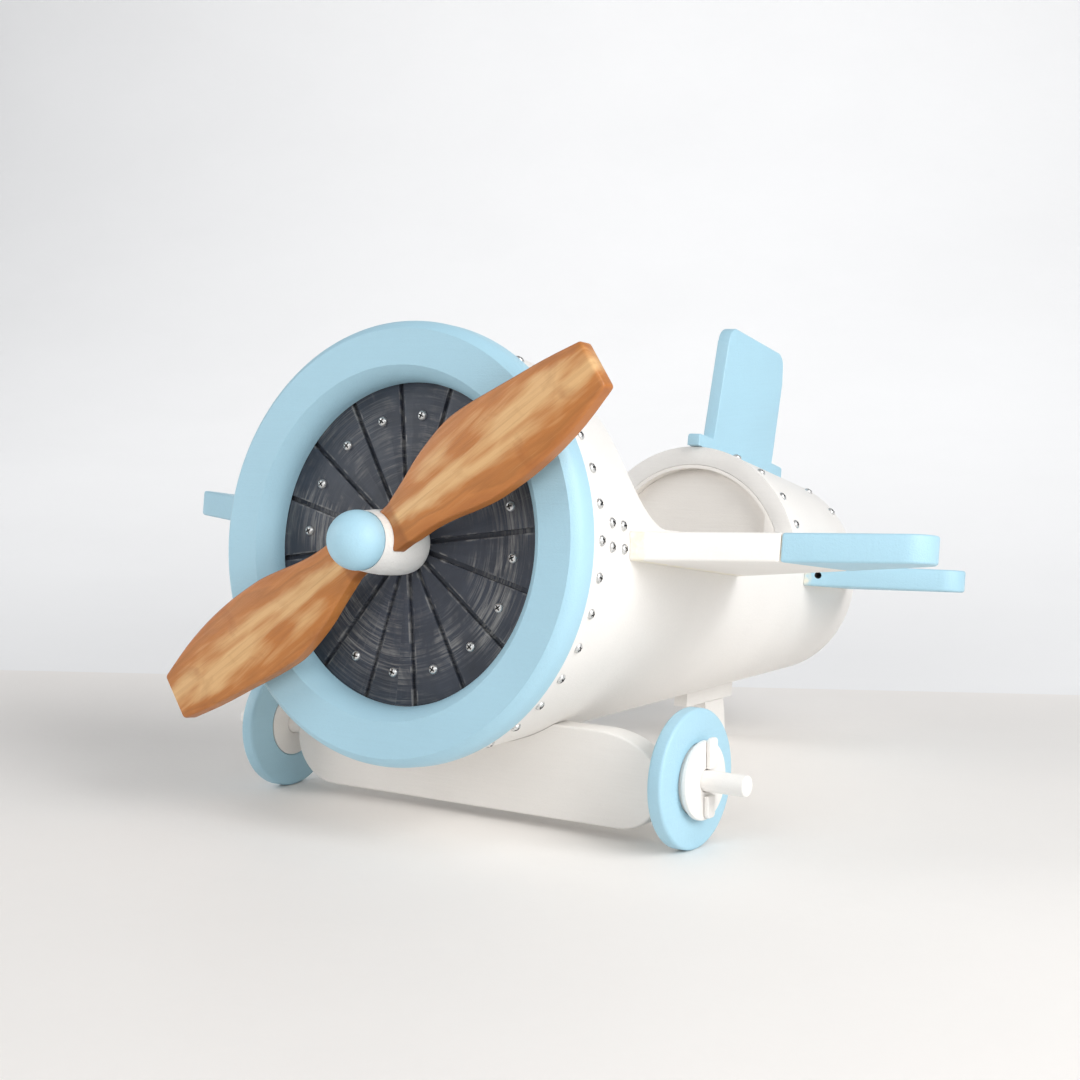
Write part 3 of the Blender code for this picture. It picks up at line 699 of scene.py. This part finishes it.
def bright_steel(name, depth=1.0, metallic=0.85):
    f = Finish(name, 0.36, metallic)
    wear = f.noise(f.here(), 900.0, 3.0)
    steel = tone(tuple(colours().steel), depth)
    f.colour(f.ramp(wear, (0.3, tone(steel, 0.68)), (0.7, tone(steel, 1.05))))
    f.roughness(f.ramp(wear, (0.3, 0.30), (0.7, 0.44)))
    return f.relief((wear, 0.00006))


def plain(name, colour, roughness, blotch):
    f = Finish(name, roughness)
    place = f.here()
    colour = tuple(colour)
    stain = f.ramp(f.noise(place, 2.2, 5.0, 0.6), (0.35, 0.0), (0.65, blotch))
    f.colour(f.mix(stain, colour, tone(colour, 0.95)))
    return f.relief((f.noise(place, 60.0, 4.0), 0.0004))


def blue_paint(name, turn=LEVELLED, weave=0.00016, over=None):
    return painted_wood(name, colours().blue, turn, sheen=0.46, weave=weave, over=over)


FINISHES = {
    "pale_blue_paint": blue_paint,
    "pale_blue_paint_lengthwise": lambda n: blue_paint(n, LENGTHWISE),
    "pale_blue_paint_masked": lambda n: blue_paint(n, weave=0.00022, over=masked_edge),
    "pale_blue_paint_over_putty": lambda n: blue_paint(n, over=puttied(0.0045)),
    "chalk_white_paint": lambda n: painted_wood(n, colours().white),
    "chalk_white_paint_lengthwise": lambda n: painted_wood(n, colours().white, LENGTHWISE),
    "chalk_white_paint_over_putty": lambda n: painted_wood(n, colours().white, over=puttied(0.0085)),
    # painted light: the arch and the seat back's white, made brighter and warmer
    "chalk_white_paint_painted_light": lambda n: painted_wood(n, with_painted_cockpit_light(colours().white)),
    "chalk_white_paint_gritty": lambda n: painted_wood(n, colours().white, weave=0.00050, strokes=0.00030),
    "rubbed_slate_paint": rubbed_slate,
    "bright_screw_steel": bright_steel,
    # painted shade: steel darkened to a tenth for the inside of the cross recess
    "screw_recess_painted_shade": lambda n: bright_steel(n, 0.10, 0.4),
    # painted shade: the walls of a bored hole, painted near black
    "hole_painted_shade": lambda n: painted_wood(n, (0.05, 0.045, 0.04)),
    "bare_dowel_wood": bare_wood,
    "stained_blade_upper": lambda n: stained_wood(n, BLADE_TURNS[0]),
    "stained_blade_lower": lambda n: stained_wood(n, BLADE_TURNS[1]),
    "pale_floor": lambda n: plain(n, colours().floor, 0.6, 0.5),
    "pale_backdrop": lambda n: plain(n, colours().backdrop, 0.7, 0.4),
}


def finish_of(name):
    """The named finish, made the first time that it is asked for."""
    return bpy.data.materials.get(name) or FINISHES[name](name)


# ---------------------------------------------------------------- pieces

class AIRPLANE_OT_stage(Operator):
    """Set the floor, the backdrop, the camera and the lights"""
    bl_idname = "airplane.stage"
    bl_label = "Stage"
    bl_options = {'REGISTER', 'UNDO'}

    def sheet(self, name, finish, place, size):
        put_down()
        bpy.ops.mesh.primitive_grid_add(x_subdivisions=8, y_subdivisions=len(BACKDROP) - 1, size=1.0)
        piece = bpy.context.object
        piece.name = name
        piece.data.transform(place @ Matrix.Diagonal((*size, 1, 1)))
        piece.data.materials.append(finish_of(finish))
        return piece

    def softbox(self, name, place, aim, size, power):
        put_down()
        bpy.ops.object.light_add(type='AREA', location=place)
        light = bpy.context.object
        light.name = name
        light.data.shape = 'RECTANGLE'
        light.data.size, light.data.size_y = size
        light.data.energy = power
        light.rotation_euler = (Vector(place) - Vector(aim)).to_track_quat('Z', 'Y').to_euler()

    def execute(self, context):
        put_down()
        bpy.ops.object.camera_add(location=CAMERA_PLACE, rotation=CAMERA_TURN)
        camera = context.object
        camera.data.lens, camera.data.sensor_width = CAMERA_LENS, CAMERA_SENSOR
        camera.data.clip_start = 0.05
        context.scene.camera = camera

        middle = FLOOR_EDGE @ Matrix.Translation((0, -FLOOR_DEPTH / 2, 0))
        floor = self.sheet("floor", "pale_floor", middle, (FLOOR_WIDTH, FLOOR_DEPTH))
        flat = Matrix.Translation((0, 0.5, 0))
        backdrop = self.sheet("backdrop", "pale_backdrop", flat, (FLOOR_WIDTH, 1.0))
        for vert in backdrop.data.vertices:
            vert.co.yz = BACKDROP[round(vert.co.y * (len(BACKDROP) - 1))]
        settled(backdrop, FLOOR_EDGE)
        pick_up(backdrop)
        bpy.ops.object.shade_smooth()

        context.scene.view_settings.view_transform = 'Standard'
        for light in LIGHTS:
            self.softbox(*light)
        world = bpy.data.worlds.new("studio")
        context.scene.world = world
        world.use_nodes = True
        sky = world.node_tree.nodes["Background"]
        sky.inputs["Color"].default_value = SKY_COLOUR
        sky.inputs["Strength"].default_value = SKY_STRENGTH
        return {'FINISHED'}


class AIRPLANE_OT_cowl_ring(Operator):
    """Turn the broad blue ring at the nose"""
    bl_idname = "airplane.cowl_ring"
    bl_label = "Cowl ring"
    bl_options = {'REGISTER', 'UNDO'}

    def execute(self, context):
        sizes = context.scene.airplane_sizes
        r, s = sizes.cowl_inner_round, sizes.cowl_outer_round
        profile = [(COWL_BORE_R + r * u, COWL_FRONT + r * v) for u, v in reversed(COWL_SWEEP)]
        profile += [(COWL_R - s * u, COWL_FRONT + s * v) for u, v in COWL_SWEEP]
        back = COWL_BACK_ROUND
        profile += round_corner(COWL_R - back, COWL_BACK - back, back, 0, pi / 2, 3)
        profile += [(COWL_BORE_R, COWL_BACK)]
        ring = settled(turned("cowl_ring_painted", profile, 160), AIRFRAME)
        finished(ring, "pale_blue_paint", "airframe", "cowl_ring", "cowl_ring")
        return {'FINISHED'}


class AIRPLANE_OT_engine_disc(Operator):
    """Turn the engine disc and saw its grooves"""
    bl_idname = "airplane.engine_disc"
    bl_label = "Engine disc"
    bl_options = {'REGISTER', 'UNDO'}

    def execute(self, context):
        sizes = context.scene.airplane_sizes
        hole, back = SHAFT_BORE_R, DISC_FRONT + DISC_T
        disc = turned("engine_disc_grooved",
                      [(hole, DISC_FRONT), (DISC_R, DISC_FRONT), (DISC_R, back), (hole, back)], 128)
        cuts = []
        for k in range(GROOVES):
            cut = block((sizes.groove_width, sizes.groove_depth * 2, GROOVE_OUT - GROOVE_IN),
                        (0, DISC_FRONT, (GROOVE_OUT + GROOVE_IN) / 2))
            cut.data.transform(Matrix.Rotation(GROOVE_PHASE + 2 * pi * k / GROOVES, 4, 'Y'))
            cuts.append(cut)
        cut_away(disc, joined(cuts))
        eased(disc, DISC_EASE, 2)
        finished(settled(disc, AIRFRAME), "rubbed_slate_paint", "airframe", "engine_disc", "engine_disc")
        return {'FINISHED'}


class AIRPLANE_OT_disc_screws(Operator):
    """Set a screw between every two grooves of the engine disc"""
    bl_idname = "airplane.disc_screws"
    bl_label = "Disc screws"
    bl_options = {'REGISTER', 'UNDO'}

    def execute(self, context):
        radius = context.scene.airplane_sizes.disc_screw_radius
        pattern = pan_head("screw_pattern", radius, DISC_SCREW_H)
        for k in range(GROOVES):
            angle = GROOVE_PHASE + 2 * pi * (k + 0.5) / GROOVES
            name = "disc_screw_%02d" % (k + 1)
            screw = another(pattern, name + "_head")
            seat = (SCREW_RING_R * sin(angle), DISC_FRONT - GAP, SCREW_RING_R * cos(angle))
            settled(screw, AIRFRAME @ Matrix.Translation(seat) @ Matrix.Rotation(k * 1.37, 4, 'Y'))
            finished(screw, "bright_screw_steel", "airframe", name, name)
        bpy.data.objects.remove(pattern)
        return {'FINISHED'}


class AIRPLANE_OT_body(Operator):
    """Turn the hollow body, saw its cockpit open and line the arch behind the seat"""
    bl_idname = "airplane.body"
    bl_label = "Body"
    bl_options = {'REGISTER', 'UNDO'}

    def execute(self, context):
        front, back = BODY_FRONT, BODY_BACK
        skin = drooped(turned("fuselage_skin", [
            (body_radius(front), front), (body_radius(back), back),
            (body_radius(back) - WALL, back), (body_radius(front) - WALL, front)], 144))
        f, b = COCKPIT_FRONT_ROUND, COCKPIT_BACK_ROUND
        outline = [(COCKPIT_FRONT, CUTTER_TOP)]
        outline += round_corner(COCKPIT_FRONT + f, COCKPIT_SILL + f, f, pi, 1.5 * pi, 16)
        outline += round_corner(COCKPIT_BACK - b, COCKPIT_SILL + b, b, 1.5 * pi, 2 * pi, 8)
        outline += [(COCKPIT_BACK, CUTTER_TOP)]
        opening = sawn("cockpit_cutter", outline, 2 * CUTTER_HALF_W)
        opening.data.transform(Matrix.Translation((-CUTTER_HALF_W, 0, 0)) @ SIDEWAYS)
        cut_away(skin, opening)
        eased(skin, BODY_EASE, 3)
        settled(skin, AIRFRAME)
        finished(skin, "chalk_white_paint", "airframe", "fuselage_shell", "fuselage_shell")

        corner, drop = acos(LINER_HALF_W / LINER_R), body_centre(COCKPIT_BACK)
        hole = round_corner(0, drop, LINER_R, corner, pi - corner, 36)
        hole += round_corner(0, drop, LINER_R, pi + corner, 2 * pi - corner, 36)
        ahead = Matrix.Translation((0, COCKPIT_BACK - 0.01, 0))
        hollow = settled(sawn("arch_cutter", hole, 0.04), ahead @ UPRIGHT)
        lining = body_plug("seat_arch_lining", COCKPIT_BACK, COCKPIT_BACK + LINER_T, -WALL - GAP)
        cut_away(lining, hollow)
        eased(lining, LINER_EASE, 3)
        settled(lining, AIRFRAME)
        # painted light: the lining and the seat back get a brighter, warmer white than the body
        finished(lining, "chalk_white_paint_painted_light", "airframe", "seat_arch_liner", "seat_arch_liner")
        repaint("seat_back_panel", "chalk_white_paint_painted_light")
        repaint("tail_end_panel", "chalk_white_paint")
        return {'FINISHED'}


class AIRPLANE_OT_shell_screws(Operator):
    """Set the screws round the body, at the wing roots, on the arch and at the tail"""
    bl_idname = "airplane.shell_screws"
    bl_label = "Body screws"
    bl_options = {'REGISTER', 'UNDO'}

    def mirrored(self, places):
        return [(y, -angle) for y, angle in places]

    def execute(self, context):
        sizes = context.scene.airplane_sizes
        pattern = pan_head("shell_screw_pattern", sizes.shell_screw_radius, SHELL_SCREW_H, 16)
        step = 2 * pi / sizes.cowl_screws
        ring = [(COWL_SCREW_Y, COWL_SCREW_START + step * k) for k in range(sizes.cowl_screws)]
        roots = [(y, atan2(x, z)) for x, y, z in ROOT_SCREWS]
        arch = [(ARCH_SCREW_Y, radians(angle)) for angle in ARCH_SCREW_ANGLES]
        groups = (("cowl_edge_screws", ring), ("left_wing_root_screws", roots),
                  ("right_wing_root_screws", self.mirrored(roots)),
                  ("seat_arch_screws", arch + self.mirrored(arch)),
                  ("tail_top_screws", list(TAIL_SCREWS) + self.mirrored(TAIL_SCREWS)))
        for name, places in groups:
            heads = []
            for index, (y, angle) in enumerate(places):
                head = another(pattern, "%s_%02d" % (name, index))
                place, outward = on_body(y, angle)
                turn = outward.to_track_quat('-Y', 'Z').to_matrix().to_4x4()
                heads.append(settled(head, AIRFRAME @ Matrix.Translation(place) @ turn
                                     @ Matrix.Rotation(index * 1.13, 4, 'Y')))
            group = joined(heads)
            group.name = group.data.name = name
            finished(group, "bright_screw_steel", "airframe", "disc_screw_01")
        bpy.data.objects.remove(pattern)
        return {'FINISHED'}


class AIRPLANE_OT_blades(Operator):
    """Saw the two propeller blades and scribe them to the hub"""
    bl_idname = "airplane.blades"
    bl_label = "Propeller blades"
    bl_options = {'REGISTER', 'UNDO'}

    def execute(self, context):
        turn = AIRFRAME @ Matrix.Rotation(BLADE_ANGLE, 4, 'Y')
        down = flowing([(-a, z) for z, a, b in BLADE_STATIONS], 3)
        back = flowing([(b, z) for z, a, b in reversed(BLADE_STATIONS)], 3)
        for side, extra in (("upper", 0.0), ("lower", pi)):
            node = "propeller_blade_" + side
            blade = sawn(node + "_shaped", down + back, BLADE_T)
            eased(blade, context.scene.airplane_sizes.blade_round, 4, 50)
            settled(blade, Matrix.Translation((0, BLADE_FRONT, 0)) @ UPRIGHT)
            ahead, behind = -0.05, 0.02
            tool = [(0, ahead), (HUB_R + HUB_TAPER[0][0] + GAP, ahead)]
            tool += [(HUB_R + r + GAP, HUB_FRONT + y) for r, y in HUB_TAPER]
            tool += [(HUB_R + GAP, behind), (0, behind)]
            cut_away(blade, turned("hub_tool", tool, 96))
            settled(blade, turn @ Matrix.Rotation(extra, 4, 'Y'))
            finished(blade, "stained_blade_" + side, "propeller", node, node)
        return {'FINISHED'}


class AIRPLANE_OT_hub(Operator):
    """Turn the propeller's hub and the blue ball on its nose"""
    bl_idname = "airplane.hub"
    bl_label = "Hub and ball"
    bl_options = {'REGISTER', 'UNDO'}

    def execute(self, context):
        turn = AIRFRAME @ Matrix.Rotation(BLADE_ANGLE, 4, 'Y')
        bore, seat = SHAFT_BORE_R, BALL_R + GAP
        start = atan2(HUB_LIP - BALL_Y, sqrt(seat ** 2 - (HUB_LIP - BALL_Y) ** 2))
        end = atan2(sqrt(seat ** 2 - bore ** 2), bore)
        profile = round_corner(0, BALL_Y, seat, end, start, 10) + [(HUB_LIP_R, HUB_LIP)]
        profile += [(HUB_R + r, HUB_FRONT + y) for r, y in HUB_TAPER]
        profile += [(HUB_R - inset, y) for inset, y in HUB_SKIRT] + [(bore, HUB_BACK)]
        hub = settled(turned("propeller_hub_turned", profile, 96), turn)
        finished(hub, "chalk_white_paint_gritty", "propeller", "propeller_hub", "propeller_hub")

        half = round_corner(0, BALL_Y, BALL_R, -pi / 2, pi / 2, 24)
        curve = [(0, half[0][1])] + half[1:-1] + [(0, half[-1][1])]
        ball = settled(turned("spinner_ball_turned", curve, 64), turn)
        finished(ball, "pale_blue_paint", "propeller", "spinner_ball", "spinner_ball")
        for name in ("propeller_shaft", "shaft_collar"):
            repaint(name, "bare_dowel_wood")
        return {'FINISHED'}


class AIRPLANE_OT_wings(Operator):
    """Saw the wings, each a white panel and a blue tip"""
    bl_idname = "airplane.wings"
    bl_label = "Wings"
    bl_options = {'REGISTER', 'UNDO'}

    def execute(self, context):
        sizes = context.scene.airplane_sizes
        inner, outer = split_outline(planform(*WING_PLAN), WING_JOINT)
        for side, sign in SIDES:
            slope = sloped(sign, *WING_SLOPE)
            panel = sawn(side + "_wing_board", inner, sizes.wing_thickness)
            eased(panel, sizes.board_round, 4)
            settled(panel, slope)
            cut_away(panel, body_tool())
            settled(panel, AIRFRAME)
            finished(panel, "chalk_white_paint_over_putty", "airframe", side + "_wing", side + "_wing")
            tip = sawn(side + "_wing_tip_board", outer, sizes.wing_thickness)
            eased(tip, sizes.board_round, 4)
            settled(tip, AIRFRAME @ slope)
            node = side + "_wing_tip"
            finished(tip, "pale_blue_paint_masked", "airframe", node, node)
        return {'FINISHED'}


class AIRPLANE_OT_tail_planes(Operator):
    """Saw the two tail planes and bore the screw hole in their leading edges"""
    bl_idname = "airplane.tail_planes"
    bl_label = "Tail planes"
    bl_options = {'REGISTER', 'UNDO'}

    def execute(self, context):
        sizes = context.scene.airplane_sizes
        outline = planform(*TAIL_PLANE_PLAN)
        for side, sign in SIDES:
            plane = sawn(side + "_stabilizer_board", outline, sizes.stabilizer_thickness)
            eased(plane, sizes.board_round, 4)
            settled(plane, sloped(sign, *TAIL_PLANE_SLOPE))
            start, end = -0.010, 0.012
            bore = turned("hole_tool", [(0, start), (HOLE_R, start), (HOLE_R, end), (0, end)], 20)
            bore.data.transform(Matrix.Translation((sign * HOLE_X, HOLE_Y, HOLE_Z)))
            # the bore's faces take the near-black paint: painted shade inside the hole
            paints = (finish_of("pale_blue_paint_over_putty"), finish_of("hole_painted_shade"))
            for made in (plane, bore):
                for paint in paints:
                    made.data.materials.append(paint)
            for face in bore.data.polygons:
                face.material_index = 1
            cut_away(plane, bore, body_tool())
            settled(plane, AIRFRAME)
            node = side + "_stabilizer"
            finished(plane, "pale_blue_paint_over_putty", "airframe", node, node)
        return {'FINISHED'}


class AIRPLANE_OT_tail_fin(Operator):
    """Saw the tail fin with its long foot"""
    bl_idname = "airplane.tail_fin"
    bl_label = "Tail fin"
    bl_options = {'REGISTER', 'UNDO'}

    def execute(self, context):
        thick = context.scene.airplane_sizes.fin_thickness
        foot = round_corner(FIN_FOOT_X, FIN_FOOT_Z, FIN_FOOT_ROUND, pi, pi / 2, 5)
        fin = [*FIN_FRONT, *foot[1:], *FIN_LEADING_EDGE]
        for y, z, start, end in FIN_CORNERS:
            fin += round_corner(y, z, FIN_CORNER_R, radians(start), radians(end), 10)
        fin += FIN_BACK
        board = sawn("tail_fin_board", fin, thick)
        eased(board, FIN_EASE, 4, 30)
        settled(board, Matrix.Translation((-thick / 2, 0, 0)) @ SIDEWAYS)
        cut_away(board, body_tool())
        settled(board, AIRFRAME)
        finished(board, "pale_blue_paint_lengthwise", "airframe", "tail_fin", "tail_fin")
        return {'FINISHED'}


class AIRPLANE_OT_gear_board(Operator):
    """Saw the long round-ended board under the body"""
    bl_idname = "airplane.gear_board"
    bl_label = "Gear board"
    bl_options = {'REGISTER', 'UNDO'}

    def execute(self, context):
        thick = context.scene.airplane_sizes.gear_board_thickness
        r, mid = (BOARD_HIGH - BOARD_LOW) / 2, (BOARD_HIGH + BOARD_LOW) / 2 - AXLE.z
        end = round_corner(BOARD_HALF_L - r, mid, r, -pi / 2, 0, 14)
        end += [(BOARD_HALF_L - BOARD_SHOULDER * (1 - cos(t)), mid + r * sin(t))
                for t in (pi * k / 40 for k in range(1, 21))]
        plank = sawn("gear_board_shaped", end + [(-u, v) for u, v in reversed(end)], thick)
        eased(plank, BOARD_EASE, 4, 60)
        settled(plank, UNDERCARRIAGE @ Matrix.Translation((0, -thick / 2, 0)) @ UPRIGHT)
        cut_away(plank, settled(body_tool(), AIRFRAME))
        finished(plank, "chalk_white_paint", "airframe", "gear_board", "gear_board")
        return {'FINISHED'}


class AIRPLANE_OT_wheels(Operator):
    """Turn the wheels and their hub discs, and fix the strips on the discs"""
    bl_idname = "airplane.wheels"
    bl_label = "Wheels"
    bl_options = {'REGISTER', 'UNDO'}

    def execute(self, context):
        e, c, r = context.scene.airplane_sizes.wheel_round, DOWEL_ROUND, AXLE.z
        for side, sign in SIDES:
            place = UNDERCARRIAGE @ Matrix.Diagonal((sign, 1, 1, 1))
            body = side + "_wheel_set"
            profile = [(WHEEL_BORE_R + 0.0008, WHEEL_IN)]
            profile += round_corner(r - e, WHEEL_IN + e, e, -pi / 2, 0, 5)
            profile += round_corner(r - e, WHEEL_OUT - e, e, 0, pi / 2, 5)
            profile += [(WHEEL_BORE_R + 0.0008, WHEEL_OUT), (WHEEL_BORE_R, WHEEL_OUT - 0.0012),
                        (WHEEL_BORE_R, WHEEL_IN + 0.0008)]
            tyre = settled(turned(side + "_wheel_slab", profile, 96, 'X'), place)
            finished(tyre, "pale_blue_paint_lengthwise", body, side + "_wheel", side + "_wheel")
            hole, rim, plate = AXLE_R + GAP, WHEEL_BORE_R - GAP, HUB_PLATE_R
            profile = [(hole, WHEEL_IN), (rim, WHEEL_IN), (rim, HUB_PLATE_IN),
                       (plate - 0.0005, HUB_PLATE_IN), (plate, HUB_PLATE_IN + 0.0005)]
            profile += round_corner(plate - c, HUB_DISC_OUT - c, c, 0, pi / 2, 4)
            profile += [(hole + 0.0006, HUB_DISC_OUT), (hole, HUB_DISC_OUT - 0.0006)]
            plug = settled(turned(side + "_hub_disc_turned", profile, 72, 'X'), place)
            finished(plug, "chalk_white_paint", body, side + "_hub_disc", side + "_hub_disc")
            for which, up, shift, start, stop in STRIPS:
                half, q = STRIP_W / 2, STRIP_ROUND
                outline = [(shift - half, start), (shift + half, start)]
                outline += round_corner(shift + half - q, stop - q, q, 0, pi / 2, 6)
                outline += round_corner(shift + q - half, stop - q, q, pi / 2, pi, 6)
                strip = sawn("%s_hub_strip_%s_shaped" % (side, which), outline, STRIP_T)
                eased(strip, STRIP_EASE, 3)
                settled(strip, Matrix.Translation((HUB_DISC_OUT + GAP, 0, 0)) @ SIDEWAYS)
                settled(strip, place @ Matrix.Diagonal((1, 1, up, 1)))
                node = "%s_hub_strip_%s" % (side, which)
                finished(strip, "chalk_white_paint", body, node, node)
        return {'FINISHED'}


class AIRPLANE_OT_axles(Operator):
    """Turn the two dowels that the wheels run on"""
    bl_idname = "airplane.axles"
    bl_label = "Axles"
    bl_options = {'REGISTER', 'UNDO'}

    def execute(self, context):
        c = DOWEL_ROUND
        for side, sign in SIDES:
            profile = [(0, AXLE_IN), (AXLE_R, AXLE_IN)]
            profile += round_corner(AXLE_R - c, AXLE_OUT - c, c, 0, pi / 2, 4) + [(0, AXLE_OUT)]
            dowel = settled(turned(side + "_axle_dowel", profile, 48, 'X'),
                            UNDERCARRIAGE @ Matrix.Diagonal((sign, 1, 1, 1)))
            finished(dowel, "chalk_white_paint", "airframe", side + "_axle", side + "_axle")
        return {'FINISHED'}


class AIRPLANE_OT_tail_skid(Operator):
    """Paint the keel block and the leg under the tail"""
    bl_idname = "airplane.tail_skid"
    bl_label = "Tail skid"
    bl_options = {'REGISTER', 'UNDO'}

    def execute(self, context):
        for name in ("tail_keel", "tail_leg"):
            repaint(name, "chalk_white_paint_lengthwise")
        return {'FINISHED'}


OPERATORS = (
    AIRPLANE_OT_stage, AIRPLANE_OT_cowl_ring, AIRPLANE_OT_engine_disc, AIRPLANE_OT_disc_screws,
    AIRPLANE_OT_body, AIRPLANE_OT_shell_screws, AIRPLANE_OT_blades, AIRPLANE_OT_hub, AIRPLANE_OT_wings,
    AIRPLANE_OT_tail_planes, AIRPLANE_OT_tail_fin, AIRPLANE_OT_gear_board, AIRPLANE_OT_wheels,
    AIRPLANE_OT_axles, AIRPLANE_OT_tail_skid)


class AIRPLANE_PT_workshop(Panel):
    """The airplane's pieces, sizes and colours"""
    bl_idname = "AIRPLANE_PT_workshop"
    bl_label = "Wooden Airplane"
    bl_space_type = 'VIEW_3D'
    bl_region_type = 'UI'
    bl_category = "Airplane"

    def draw(self, context):
        scene = context.scene
        for heading, group in (("Sizes", scene.airplane_sizes), ("Colours", scene.airplane_colours)):
            box = self.layout.box()
            box.label(text=heading)
            for key in group.__annotations__:
                box.prop(group, key)
        column = self.layout.column(align=True)
        for step in OPERATORS:
            column.operator(step.bl_idname)


CLASSES = (AirplaneSizes, AirplaneColours, *OPERATORS, AIRPLANE_PT_workshop)


def register():
    for cls in CLASSES:
        bpy.utils.register_class(cls)
    bpy.types.Scene.airplane_sizes = PointerProperty(type=AirplaneSizes)
    bpy.types.Scene.airplane_colours = PointerProperty(type=AirplaneColours)


def unregister():
    del bpy.types.Scene.airplane_colours
    del bpy.types.Scene.airplane_sizes
    for cls in reversed(CLASSES):
        bpy.utils.unregister_class(cls)


def main():
    register()
    bpy.ops.airplane.stage()
    bpy.ops.airplane.cowl_ring()
    bpy.ops.airplane.engine_disc()
    bpy.ops.airplane.disc_screws()
    bpy.ops.airplane.body()
    bpy.ops.airplane.shell_screws()
    bpy.ops.airplane.blades()
    bpy.ops.airplane.hub()
    bpy.ops.airplane.wings()
    bpy.ops.airplane.tail_planes()
    bpy.ops.airplane.tail_fin()
    bpy.ops.airplane.gear_board()
    bpy.ops.airplane.wheels()
    bpy.ops.airplane.axles()
    bpy.ops.airplane.tail_skid()


if __name__ == "__main__":
    main()
